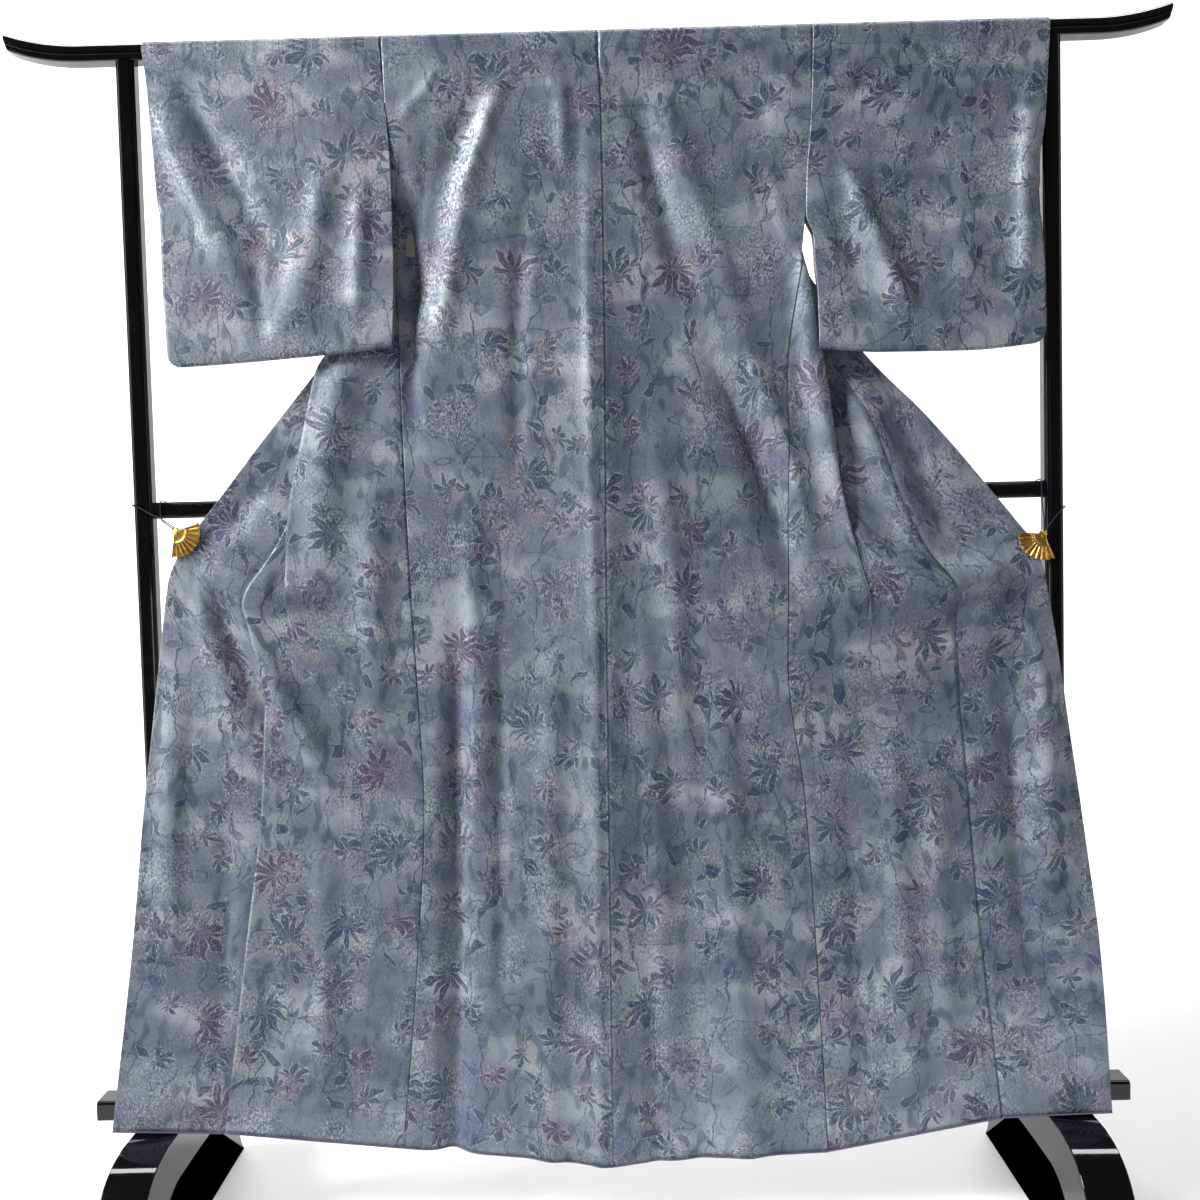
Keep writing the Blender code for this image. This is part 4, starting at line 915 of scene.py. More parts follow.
def moulded_outline(width, depth, step, radius):
    """A bar's section: each corner is rounded between two small steps."""
    quarter = [(width / 2, depth / 2 - radius - step), (width / 2 - step, depth / 2 - radius - step)]
    for turn in np.linspace(0, math.pi / 2, ROUND_STEPS + 1)[1:]:
        quarter.append((width / 2 - step - radius * (1 - math.cos(turn)),
                        depth / 2 - step - radius * (1 - math.sin(turn))))
    quarter.append((width / 2 - step - radius, depth / 2))
    outline = []
    for mirror_x, mirror_y in ((1, 1), (-1, 1), (-1, -1), (1, -1)):
        corner = [(x * mirror_x, y * mirror_y) for x, y in quarter]
        outline += corner if mirror_x * mirror_y > 0 else corner[::-1]
    return outline


def soften(piece, width, angle=24):
    """A small bevel on every sharp edge, then smooth shading that flat faces don't bend."""
    bevel = piece.modifiers.new("arris", "BEVEL")
    bevel.width = width
    bevel.segments = 3
    bevel.limit_method = "ANGLE"
    bevel.angle_limit = math.radians(angle)
    bevel.use_clamp_overlap = True
    bpy.ops.object.modifier_apply(modifier="arris")
    bpy.ops.object.shade_smooth()
    even = piece.modifiers.new("even", "WEIGHTED_NORMAL")
    even.keep_sharp = True
    bpy.ops.object.modifier_apply(modifier="even")


# %% Extrude it
def bar(name, outline, length, turn, middle, material, arris=ARRIS):
    """An outline in X and Y, extruded along Z to its length, then turned and placed by its middle."""
    bpy.ops.object.select_all(action="DESELECT")
    bpy.ops.mesh.primitive_circle_add(vertices=len(outline), fill_type="NGON")
    piece = bpy.context.active_object
    piece.name = piece.data.name = name
    for vertex, (x, y) in zip(piece.data.vertices, outline):
        vertex.co = (x, y, -length / 2)
    bpy.ops.object.mode_set(mode="EDIT")
    bpy.ops.mesh.select_all(action="SELECT")
    bpy.ops.mesh.extrude_region_move(TRANSFORM_OT_translate={"value": (0, 0, length)})
    bpy.ops.mesh.select_all(action="SELECT")
    bpy.ops.mesh.normals_make_consistent(inside=False)
    bpy.ops.object.mode_set(mode="OBJECT")
    piece.data.transform(Matrix.Translation(middle) @ turn)
    piece.data.materials.append(material)
    soften(piece, arris)
    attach(piece, "root")
    print(name, len(piece.data.polygons), "faces")
    return piece


# %% Posts, crossbar and base bar
POST_X = 0.6675             # middle of a post
POST_WIDTH = 0.027
POST_DEPTH = 0.028
CORNER_STEP = 0.0012        # moulded corner of the posts: a step on each side of a round
CORNER_ROUND = 0.005

CROSSBAR_DROP = 0.663
CROSSBAR_SIZE = 0.024

BASE_HALF_LENGTH = 0.770
BASE_TOP = 0.205
BASE_HEIGHT = 0.0305
BASE_DEPTH = 0.043
ALONG_X = Matrix.Rotation(math.pi / 2, 4, "Y")
UPRIGHT = Matrix.Identity(4)

post_outline = moulded_outline(POST_WIDTH, POST_DEPTH, CORNER_STEP, CORNER_ROUND)
post_bottom = BASE_TOP + GAP
post_top = RAIL_TOP - RAIL_HEIGHT - GAP
for i, (side, sign) in enumerate(SIDES):
    post = bar(f"post_lacquered_{side}", post_outline, post_top - post_bottom, UPRIGHT,
               (sign * POST_X, 0, (post_top + post_bottom) / 2), lacquer(f"lacquer_post_{side}", 3.0 + i))
    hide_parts(f"post_{side}")

bar_length = 2 * (POST_X - POST_WIDTH / 2 - GAP)
crossbar = bar("crossbar_lacquered", moulded_outline(CROSSBAR_SIZE, CROSSBAR_SIZE, CORNER_STEP, 0.003),
               bar_length, ALONG_X, (0, 0, RAIL_TOP - CROSSBAR_DROP - CROSSBAR_SIZE / 2),
               lacquer("lacquer_crossbar", 5.0))
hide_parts("crossbar")
base_bar = bar("base_bar_lacquered", moulded_outline(BASE_HEIGHT, BASE_DEPTH, 0.0005, 0.004),
               2 * BASE_HALF_LENGTH, ALONG_X, (0, 0, BASE_TOP - BASE_HEIGHT / 2),
               lacquer("lacquer_base_bar", 6.0))
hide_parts("base_bar")

# %% [markdown]
# ## The feet
# Each foot is sawn from one thick board: flat on top under the base bar, swelling out to a toe at both
# ends and arched underneath. The saw leaves a flat side, and the edges are rounded over before the
# lacquer goes on. The side view below is half of a foot. It is read smoothly and mirrored.
# %% Feet
FOOT_WIDTH = 0.066
FOOT_TOP = BASE_TOP - BASE_HEIGHT - GAP
FOOT_EDGE = 0.003
# one half of a foot's side view, from the middle of its top round to the middle of its arch
FOOT_PROFILE = (            # (y, height)
    (0.000, FOOT_TOP), (0.095, FOOT_TOP), (0.122, 0.169), (0.145, 0.160), (0.166, 0.145), (0.182, 0.125),
    (0.192, 0.100), (0.197, 0.070), (0.201, 0.040), (0.208, 0.018), (0.220, 0.000),
    (0.140, 0.000), (0.132, 0.022), (0.123, 0.050), (0.117, 0.070), (0.105, 0.088), (0.088, 0.100),
    (0.062, 0.107), (0.000, 0.108),
)
FOOT_FINE = 6               # places on each stretch of the side view
SIDE_ON = Matrix.Rotation(math.pi / 2, 4, "Z") @ Matrix.Rotation(math.pi / 2, 4, "X")

toe_tip = FOOT_PROFILE.index((0.220, 0.000))


def finer(profile):
    """The curve through a stretch of the side view, with more places on it."""
    profile = np.array(profile)
    reach = reach_along(profile)
    stretches = [np.linspace(a, b, FOOT_FINE + 1) for a, b in zip(reach, reach[1:])]
    at = np.unique(np.concatenate(stretches))
    return list(zip(*(smooth(reach, profile[:, i], at) for i in range(2))))


half_foot = [FOOT_PROFILE[0]] + finer(FOOT_PROFILE[1:toe_tip + 1]) + finer(FOOT_PROFILE[toe_tip + 1:])
foot_outline = half_foot + [(-y, z) for y, z in half_foot[-2:0:-1]]
for i, (side, sign) in enumerate(SIDES):
    foot = bar(f"foot_lacquered_{side}", foot_outline, FOOT_WIDTH, SIDE_ON, (sign * POST_X, 0, 0),
               lacquer(f"lacquer_foot_{side}", 8.0 + i), FOOT_EDGE)
    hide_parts(f"foot_{side}")

# %% [markdown]
# ## The rail
# The rail that carries the kimono is rounded on top, so that it doesn't mark the shoulders. Along each
# side run a bead and a narrower lower part, and both ends sweep up like a gate's lintel. The section
# is drawn once and carried along the sweep as a grid, because an extrusion can't bend.
# %% Rail
RAIL_HALF_LENGTH = 0.842
RAIL_STEP = 0.0012          # the bead line along each side
RAIL_END_REACH = 0.110      # each end sweeps up over this length
RAIL_END_RISE = 0.018
RAIL_END_CUT = 0.26         # slope of the end cut, its top reaches out furthest
RAIL_BEAD = 0.0016          # half the height of the bead below the round top
RAIL_BOTTOM_ROUND = 0.004
RAIL_STATIONS = 40          # along each swept end

# half of the section as (out, up): the round top, a bead between two fine grooves, the rounded bottom
half = [(RAIL_RADIUS * math.sin(a), RAIL_RADIUS * (math.cos(a) - 1))
        for a in np.radians(np.arange(0, 91, 6))]
bead = [(RAIL_RADIUS - 0.0011, -0.0154), (RAIL_RADIUS - 0.0011, -0.0158)]
bead += [(RAIL_RADIUS - RAIL_BEAD * (1 - math.cos(a)), -0.0174 + RAIL_BEAD * math.sin(a))
         for a in np.radians(np.arange(75, -76, -15))]
lower = RAIL_RADIUS - RAIL_STEP
bead += [(lower - 0.0006, -0.0191), (lower - 0.0006, -0.0194), (lower, -0.0197)]
bottom = [(lower - RAIL_BOTTOM_ROUND * (1 - math.cos(a)),
           -RAIL_HEIGHT + RAIL_BOTTOM_ROUND * (1 - math.sin(a))) for a in np.radians(np.arange(0, 91, 15))]
half += bead + bottom
section = half[::-1] + [(-y, z) for y, z in half[1:]]
straight = RAIL_HALF_LENGTH - RAIL_END_REACH
end = straight + RAIL_END_REACH * np.linspace(0, 1, RAIL_STATIONS)
rows = []
for x in np.concatenate([-end[::-1], [0.0], end]):
    sweep = max(abs(x) - straight, 0.0) / RAIL_END_REACH
    cut = math.copysign(RAIL_END_CUT * sweep ** 3, x)
    top = RAIL_TOP + RAIL_END_RISE * sweep ** 2
    rows.append([(x + cut * z, y, top + z) for y, z in section + section[:1]])


def close_up(threshold):
    """Join the points that meet, cap the open ends and turn all faces outwards."""
    bpy.ops.object.mode_set(mode="EDIT")
    bpy.ops.mesh.select_all(action="SELECT")
    bpy.ops.mesh.remove_doubles(threshold=threshold)
    bpy.ops.mesh.fill_holes(sides=0)
    bpy.ops.mesh.select_all(action="SELECT")
    bpy.ops.mesh.normals_make_consistent(inside=False)
    bpy.ops.object.mode_set(mode="OBJECT")


rail = grid("rail_lacquered", rows)
close_up(0.00005)
rail.data.materials.append(lacquer("lacquer_rail", 1.0))
soften(rail, 0.0008, angle=60)
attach(rail, "root")
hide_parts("rail")
print("rail", len(rail.data.polygons), "faces")

# %% [markdown]
# ## The fan clips
# The clips are small gilt fans. Nine pressed pleats stand out from a plain hub, whose edge is a raised
# line, and the two guards are thicker. From the hub a strap turns back over the cloth and ends in a jaw
# behind it. The whole clip is one bent strip of brass, so it is one grid with a wall, and the
# rivet and the eye for the cord are added to it.
# %% Clips
CLIP_RADIUS = 0.037
CLIP_PLEATS = 9
CLIP_METAL = 0.001
CLIP_FRONT_Y = -0.0243
CLIP_STRAP = 0.0042         # half its width
# strip from the fan's pivot over the cloth's edge to the jaw's tip:
# distance along the fan, share of the depth between fan and jaw, width
CLIP_STRIP = ((0.000, 0.0, 1.0), (-0.0045, 0.3, 1.0), (-0.0045, 0.7, 1.0), (0.000, 1.0, 1.0),
              (0.022, 1.0, 1.6))
# pivot (x, drop), the fan's direction in degrees from straight down to the right, and the jaw's depth
CLIPS = {
    "right": (0.6465, 0.741, -37.0, -0.0150),
    "left": (-0.6160, 0.707, 50.0, -0.0134),
}
CLIP_FACES = 10             # faces across one pleat
# rows of the fan from its rim to its pivot: share of the radius, share of the pleats' depth, lift
CLIP_RINGS = ((1.000, 0.75, 0.0), (0.985, 1.0, 0.0), (0.90, 1.0, 0.0), (0.76, 0.95, 0.0), (0.62, 0.9, 0.0),
              (0.53, 0.85, 0.0), (0.50, 0.5, 0.0003), (0.48, 0.0, 0.0009), (0.455, 0.0, 0.0011),
              (0.43, 0.0, 0.0009), (0.41, 0.0, 0.0003), (0.30, 0.0, 0.0004), (0.22, 0.0, 0.0004))
CLIP_FOLD = 0.0013          # half the depth of a pleat
CLIP_OPEN = 118.0           # degrees that the finished fan spreads
PLEAT_SHARP = 1.7           # 1 is a zigzag, and more has flatter ridges
GUARD_FROM = (0.90, 0.97)   # shares of the half fan where a guard begins
GUARD_LIFT = 0.0008
HUB_DOWN = 0.10             # share of the radius from the pivot to the rivet
RIVET, EYE, EYE_WIRE = 0.0021, 0.0036, 0.0008       # radii
RIVET_LIFT = 0.0007
EYE_OUT, EYE_TIP = 0.0040, 62.0     # how far it stands off the pivot, and how far it is tipped, in degrees


# %% One clip
def clip(side, seed):
    """The fan with its strap and jaw as one bent strip, then the rivet and the cord's eye."""
    pivot_x, pivot_drop, aim, jaw_y = CLIPS[side]
    across = np.linspace(-1.0, 1.0, CLIP_FACES * CLIP_PLEATS + 1)
    phase = (across + 1) / 2 * CLIP_PLEATS
    fold = np.clip(PLEAT_SHARP * (1 - 4 * np.abs(phase % 1 - 0.5)), -1, 1)
    guard = ramp(*GUARD_FROM, np.abs(across))
    along = np.array([math.sin(math.radians(aim)), math.cos(math.radians(aim))])
    beside = np.array([along[1], -along[0]])
    turn = np.radians(across * CLIP_OPEN / 2)
    ray = along[:, None] * np.cos(turn) + beside[:, None] * np.sin(turn)
    rows = []
    for radius, pleat, lift in CLIP_RINGS:
        plan = ray * CLIP_RADIUS * radius * (1 - 0.025 * fold * pleat)
        y = CLIP_FRONT_Y + fold * CLIP_FOLD * pleat * radius - lift - guard * GUARD_LIFT
        rows.append(np.stack([pivot_x + plan[0], y, RAIL_TOP - pivot_drop - plan[1]], axis=-1))
    strip = np.array(CLIP_STRIP)
    for t in np.linspace(0, len(strip) - 1, 4 * len(strip) - 3):
        distance, share, width = (smooth(np.arange(len(strip)), strip[:, i], t) for i in range(3))
        plan = along[:, None] * distance + beside[:, None] * across * CLIP_STRAP * width
        y = np.full(len(across), CLIP_FRONT_Y + share * (jaw_y - CLIP_FRONT_Y))
        rows.append(np.stack([pivot_x + plan[0], y, RAIL_TOP - pivot_drop - plan[1]], axis=-1))
    rows = np.array(rows)
    finish = gilt(f"gilt_clip_{side}", seed)
    along_strip = np.arange(len(rows))[:, None] * 0.002     # roughly, since gilt doesn't read the map
    fan = sheet_piece(f"fan_clip_{side}", rows, across * 0.02, along_strip, (finish,), thickness=CLIP_METAL)
    bpy.ops.object.select_all(action="DESELECT")
    bpy.ops.mesh.primitive_uv_sphere_add(segments=24, ring_count=12, radius=RIVET)
    rivet = bpy.context.active_object
    hub = along * CLIP_RADIUS * HUB_DOWN
    place = (pivot_x + hub[0], CLIP_FRONT_Y - RIVET_LIFT, RAIL_TOP - pivot_drop - hub[1])
    rivet.data.transform(Matrix.Translation(place) @ Matrix.Diagonal((1, 0.55, 1, 1)))
    bpy.ops.object.shade_smooth()
    bpy.ops.mesh.primitive_torus_add(major_segments=32, minor_segments=12, major_radius=EYE,
                                     minor_radius=EYE_WIRE)
    eye = bpy.context.active_object
    top = -along * EYE_OUT
    place = (pivot_x + top[0], (CLIP_FRONT_Y + jaw_y) / 2, RAIL_TOP - pivot_drop - top[1])
    eye.data.transform(Matrix.Translation(place) @ Matrix.Rotation(math.radians(-aim), 4, "Y")
                       @ Matrix.Rotation(math.radians(EYE_TIP), 4, "X"))
    bpy.ops.object.shade_smooth()
    for part in (rivet, eye):
        part.location = (0, 0, 0)
        part.data.materials.append(finish)
        part.select_set(True)
    fan.select_set(True)
    bpy.context.view_layer.objects.active = fan
    bpy.ops.object.join()
    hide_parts(f"clip_{side}")
    return fan


# %% [markdown]
# ## The cords
# A cord ties each clip to its post: over the crossbar, round behind the post and back to the clip. A
# plain tube would look like wire, so the section has three lobes that turn as it goes.
# %% Cords
CORD_RADIUS = 0.0009
CORD_POINTS = 34
# each cord leaves the clip, crosses the crossbar, goes round the post and comes back: (x, y, drop)
CORDS = {
    "right": ((648.7, -19.7, 735.8), (648.9, -18.5, 720), (648, -15, 700), (647.5, -13.6, 682),
        (647.5, -13.4, 668), (647.5, -11, 661.5), (647.5, 0, 660.8), (648, 11.5, 662.5), (651, 15, 667),
        (660, 15.7, 675), (672, 15.7, 687), (680.5, 15, 695), (683, 8, 699), (683, -7, 701),
        (680.5, -15, 702), (674, -15.8, 708), (664, -16.5, 719), (656, -19, 729), (651.1, -20, 734.7)),
    "left": ((-619.8, -19.7, 702.8), (-630, -19, 696), (-637.5, -16.5, 689), (-640, -14, 681),
        (-640.2, -13.4, 670), (-640.2, -11, 661.5), (-640.2, 0, 660.8), (-641, 11.5, 662.5),
        (-646, 14.8, 665), (-655, 15.7, 666), (-672, 15.7, 666), (-680.5, 15, 666), (-683, 8, 666),
        (-683, -7, 666), (-680.5, -15, 667), (-670, -15.8, 671), (-656, -16.5, 679), (-640.5, -18.2, 686.5),
        (-617.9, -20, 701.1)),
}
CORD_FINE = 420
CORD_LOBES, CORD_LAY = 3, 0.0085        # strands, and the length of one whole turn
LOBE_SHARE = 0.20           # how far a strand stands out, as a share of the cord's radius


def tube(name, places, radius, material, around=12, lobes=0, lay=1.0):
    """A closed tube along the places, with a map of its own in metres."""
    places = np.asarray(places)
    tangent = np.gradient(places, axis=0)
    tangent /= np.linalg.norm(tangent, axis=1)[:, None]
    normal = np.cross(tangent[0], (0.0, 0.0, 1.0) if abs(tangent[0][2]) < 0.9 else (0.0, 1.0, 0.0))
    reach = reach_along(places)
    turn = np.linspace(0, 2 * math.pi, around + 1)
    rows = []
    for i, place in enumerate(places):
        normal = normal - tangent[i] * normal.dot(tangent[i])
        normal /= np.linalg.norm(normal)
        side = np.cross(tangent[i], normal)
        lobe = np.cos(lobes * (turn - 2 * math.pi * reach[i] / lay)) if lobes else 0 * turn
        swell = radius * (1 + LOBE_SHARE * lobe)
        rows.append(place + np.outer(swell * np.cos(turn), normal) + np.outer(swell * np.sin(turn), side))
    piece = grid(name, rows)
    set_map(piece.data, turn * radius, reach[:, None])
    piece.data.materials.append(material)
    close_up(radius * 0.02)
    bpy.ops.object.shade_smooth()
    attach(piece, "root")
    return piece


def cord(side, material):
    """A cord along its knots, with its whole length printed."""
    knots = np.array(metres(CORDS[side]))
    reach = reach_along(knots)
    coarse = np.linspace(0.0, reach[-1], CORD_POINTS)
    at = np.linspace(0.0, reach[-1], CORD_FINE)
    places = np.stack([smooth(coarse, smooth(reach, knots[:, i], coarse), at) for i in range(3)], axis=-1)
    places[:, 2] = RAIL_TOP - places[:, 2]
    piece = tube(f"twisted_cord_{side}", places, CORD_RADIUS * 0.9, material, lobes=CORD_LOBES, lay=CORD_LAY)
    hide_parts(f"cord_{side}")
    print("cord", side, round(float(reach[-1]), 4), "m")

# %% [markdown]
# ## The body strips
# One strip covers half of the back, goes over the rail and hangs down behind it as a front. Below the
# armpit the front comes forward: it pleats behind its own outer part and runs out to the clip. The
# rows of the strip are worked out one by one: a back row is a gentle curve, and a front row is a
# zigzag of three legs with round turns.
# %% One row of the back
BODY_FACES = (32, 3, 3, 10, 3, 3, 14)   # across a front: leg, crest (2), leg, valley (2), leg
NECK_COLUMNS = 18
SEAM_UNDER = 0.0010         # how far the under edge of a seam sinks behind the upper one
SEAM_REACH = 0.008          # over this much of its width
SEAM_LIFT = 0.0003          # how far the upper edge stands up
SEAM_LAP = 0.0016           # how far each edge reaches past the seam's middle


def seam_ledge(sign, from_middle):
    """The left strip laps over the right one in the middle."""
    under = SEAM_UNDER * ramp(SEAM_REACH, 0.0, from_middle) if sign > 0 else 0.0
    lap = SEAM_LIFT * (ramp(SEAM_REACH / 2, 0.0, from_middle) if sign < 0 else 0.0)
    return under - lap


# %% Pressed creases
CREASE_FADE = 0.004         # half the width over which a pressed crease begins and ends
CREASE_STEP = 0.0015        # half the height of its step
CREASE_EASE = (0.030, 0.004)        # how far below it the step has eased off
CREASE_DIP = 0.6            # the cloth above dips by this share of the step
CREASE_DIP_FROM = (-0.020, -0.002)


def crease_ledges(table, x, drop):
    """Pressed creases: a sharp step that eases off below, at a drop that leans a little with x'."""
    height = np.zeros(np.broadcast(x, drop).shape)
    for x0, d0, x1, d1, size in metres(table):
        line = d0 + (x - x0) * (d1 - d0) / (x1 - x0)
        inside = ramp(x0 - CREASE_FADE, x0 + CREASE_FADE, x) * ramp(x1 + CREASE_FADE, x1 - CREASE_FADE, x)
        past = drop - line
        below = ramp(-CREASE_STEP, CREASE_STEP, past) * ramp(*CREASE_EASE, past)
        above = ramp(*CREASE_DIP_FROM, past) * ramp(CREASE_STEP, -CREASE_STEP, past)
        height = height + inside * size * (below - CREASE_DIP * above)
    return height


def body_rise(sign, x, drop):
    """How far the body's folds and pressed creases stand out."""
    return relief(BODY_FOLDS, sign * x, drop) + crease_ledges(PRESSED, sign * x, drop)


# %% Columns and folds of a back row
def even_shares(count):
    """Shares from 0 to 1, closer together at both ends."""
    t = np.linspace(0, 1, count)
    return t - 0.7 * np.sin(2 * np.pi * t) / (2 * np.pi)


def back_row(side, sign, row, shares):
    """One row of the back panel, from the middle seam (share 0) to the side seam (share 1)."""
    lapped = ramp(*FOLDS_FROM, row)
    middle = sign * CENTRE("x", row) + SEAM / 2 - SEAM_LAP * lapped
    side_x = SIDE[side]("x", row) - SEAM / 2 + SEAM_LAP * ramp(ARMPIT - 0.01, ARMPIT + 0.01, row)
    x = middle + shares * (side_x - middle)
    y = CENTRE("y", row) + shares * (SIDE[side]("y", row) - CENTRE("y", row))
    hem = (1 - shares) * HEM_DROP["centre"] + shares * HEM_DROP[side]
    drop = row + (hem - HEM_ROW) * below_pleat(row)
    rise = body_rise(sign, x, drop) - seam_ledge(sign, x - middle)
    return world(sign, x, y - rise * lapped, drop)


def back_shares(row, neck_columns):
    """Even shares over most of the back; at the rail they meet the front's columns."""
    even = even_shares(NECK_COLUMNS + len(neck_columns))
    top = np.concatenate([np.linspace(0, neck_columns[0], NECK_COLUMNS + 1)[:-1], neck_columns])
    blend = ramp(WRAP_CENTRE, BACK_EVEN_ROW, row)
    return even * blend + top * (1 - blend)


# %% One row of a front
PLEAT_OUT = 0.86            # by this row the pleat has opened out flat
LEAST_APART = (0.0003, 0.0004)      # between columns, above and below row 0.40
PLEAT_MELTS = {"left": (0.76, 0.82), "right": (0.66, 0.745)}    # rows over which a pleat's layers join again
INNER_RELIEF = (0.44, 0.56) # drop over which folds begin on the cloth beyond the pleat
EVEN_FROM = 1.10            # from this row down a front's columns are evenly spaced
RULED = ((WRAP_CENTRE, 0.026), (0.026, 0.04), (LIP_START, 0.315), (0.315, ARMPIT), (PLEAT_END, PLEAT_OUT))


def inner_share(side, row, x, drop):
    """How much of the folds' height the cloth beyond the pleat's crest carries."""
    beyond = ramp(0.006, 0.030, x - CREST[side]("x", row)) * ramp(*INNER_RELIEF, drop)
    return np.maximum(beyond, ramp(*PLEAT_MELTS[side], row))


def front_corners(side, row):
    """The plan of one front row: side seam, pleat crest, pleat valley, inner edge, as (x', y) corners."""
    inner = np.array([INNER[side]("x", row), INNER_DEPTH("y", INNER[side]("drop", row))])
    if row < ARMPIT:
        outer = np.array([SIDE[side]("x", row), ARMHOLE("y", row)])
        crest_x = outer[0]
        neck_width = SIDE[side]("x", WRAP_CENTRE) - INNER[side]("x", WRAP_CENTRE)
        share = min((row - WRAP_CENTRE) / (OKUMI_START - WRAP_CENTRE), 1.0)
        width = neck_width + (FRONT_WIDTH - neck_width) * share
    else:
        outer = SIDE[side].place(row) + (SEAM, 0.0)
        crest_x = CREST[side]("x", row)
        width = FRONT_WIDTH
    if row > PLEAT_END:
        return [outer, inner]
    valley_x = min((2 * crest_x - outer[0] + inner[0] - width) / 2, inner[0])
    apart = 1 - ramp(*PLEAT_MELTS[side], row)
    if side == "right":
        valley_x = crest_x - (crest_x - valley_x) * apart
    depth = crest_x - valley_x
    turn = FOLD_RADIUS * np.clip(depth / (2 * FOLD_RADIUS), 0.0, 1.0)
    if inner[0] - valley_x < FOLD_RADIUS:
        valley = [inner] * 3
    else:
        valley_y = VALLEY_DEPTH("y", row)
        back = FOLD_RADIUS
        if side == "right":
            valley_y = CREST_DEPTH("y", row) + (valley_y - CREST_DEPTH("y", row)) * apart
        if inner[0] - valley_x < PLEAT_START:
            valley_x = inner[0] + 0.0008
            back = -0.0005
        valley = [np.array([valley_x + turn, valley_y - FOLD_RADIUS]), np.array([valley_x, valley_y]),
                  np.array([valley_x + back, valley_y + FOLD_RADIUS])]
    if row < ARMPIT:
        lip = np.clip((row - LIP_START) / (HANG_ROWS[ARMPIT_ROW - 1] - LIP_START), 0.0, 1.0)
        crest = [outer + lip * np.array(step) for step in LIP]
    else:
        crest_y = CREST_DEPTH("y", row)
        radius = FOLD_RADIUS * np.clip((crest_x - outer[0]) / 0.003, 0.0, 1.0)
        crest = [np.array([crest_x - radius, crest_y - radius]), np.array([crest_x, crest_y]),
                 np.array([crest_x - min(turn, radius), crest_y + radius])]
    return [outer, *crest, *valley, inner]


# %% Columns along a front row
def front_places(side, row):
    """Column places along a front row, from the side seam to the inner edge: (x', y), and their shares."""
    corners = np.array(front_corners(side, row))
    if row > PLEAT_END:
        above = front_places(side, PLEAT_END)[2]
        share = above + (np.linspace(0, 1, len(above)) - above) * ramp(PLEAT_END, EVEN_FROM, row)
        return *(corners[0, i] + share * (corners[1, i] - corners[0, i]) for i in range(2)), share
    reach = reach_along(corners)
    keys = reach.copy()
    if row <= LIP_START:
        keys[1:4] = keys[4] * 0.45 * (1 - row / ARMPIT)
    at = [keys[0]]
    for i, count in enumerate(BODY_FACES):
        at += list(keys[i] + (keys[i + 1] - keys[i]) * np.arange(1, count + 1) / count)
    least = LEAST_APART[row >= 0.40]
    for i in range(1, len(at)):
        at[i] = max(at[i], at[i - 1] + least)
    at[-1] = reach[-1]
    for i in range(len(at) - 2, -1, -1):
        at[i] = min(at[i], at[i + 1] - least)
    at = np.array(at)
    apart = np.concatenate(([True], np.diff(reach) > 1e-5))
    x, y = (smooth(reach[apart], corners[apart, i], at) for i in range(2))
    return x, y, at / reach[-1]


# %% A front row with its folds
def front_base(side, row):
    """x', y and drop of one front row before its folds, and how much of their height each column carries."""
    for start, end in RULED:
        if start < row < end:
            share = (row - start) / (end - start)
            return front_base(side, start) * (1 - share) + front_base(side, end) * share
    x, y, share = front_places(side, row)
    side_drop = row + (HEM_DROP[side] - HEM_ROW) * below_pleat(row)
    drop = side_drop + share * (INNER[side]("drop", row) - side_drop)
    column = np.arange(len(x))
    carries = np.zeros(len(x))
    if row >= ARMPIT:
        carries = ramp(sum(BODY_FACES[:4]), sum(BODY_FACES[:3]), column)
        carries = np.maximum(carries, inner_share(side, min(row, PLEAT_END), x, drop))
    return np.array([x, y, drop, carries])


def front_row(side, sign, row):
    """One row of the front panel, from its inner edge to the side seam."""
    x, y, drop, carries = front_base(side, row)
    rise = body_rise(sign, x, drop)
    on_outer_leg = np.arange(len(x)) < BODY_FACES[0]
    under = SEAM_UNDER * ramp(SEAM_REACH, 0.0, x - x[0]) * on_outer_leg
    under = under * ramp(ARMPIT - 0.01, ARMPIT + 0.01, row)
    return world(sign, x, y - carries * rise + under, drop)[::-1]


# %% The hem's roll
HEM_ROLL = 0.0014


def hem_roll(name, edge):
    """The skirt lining turned over a hem: a thin roll along the cloth's lower edge."""
    edge = edge[np.concatenate(([True], np.linalg.norm(np.diff(edge, axis=0), axis=1) > 0.0002))]
    piece = tube(name, edge - np.array([0.0, 0.0, HEM_ROLL * 0.5]), HEM_ROLL, roll_silk, around=8)
    return piece


# %% Over the rail
WRAP_RADIUS = RAIL_RADIUS + 0.0015
WRAP_TURNS = np.radians(np.linspace(80.0, -80.0, 17))
# where on the bolt each strip is cut (across, along), so that no two strips show the same flowers
CUT_FROM = {
    "body_left": (1.7, 0.43), "body_right": (0.0, 0.0), "okumi_left": (5.6, 0.61), "okumi_right": (4.1, 0.27),
    "sleeve_left": (8.9, 0.77), "sleeve_right": (7.3, 0.15), "collar": (10.4, 0.35),
}


def over_rail(top_row):
    """The top row of a strip's outer side, carried round the rail: rows, and their places along the strip."""
    rows = []
    for turn in WRAP_TURNS:
        row = top_row.copy()
        row[:, 1] = -WRAP_RADIUS * math.sin(turn)
        row[:, 2] = RAIL_TOP - WRAP_CENTRE + WRAP_RADIUS * math.cos(turn)
        rows.append(row)
    return rows, list(-WRAP_TURNS * WRAP_RADIUS)


# %% A whole strip
ROW_STEP = 0.0085           # the finer rows are at most this far apart
NECK_FROM_END = 3           # rows before the rail's rear where the neck's opening starts
STRIP_WIDTH = 0.30
CREASE_ROWS = [drop + step for _, d0, _, d1, _ in metres(PRESSED) for drop in (d0, d1)
               for step in (-0.002, 0.0, 0.002)]


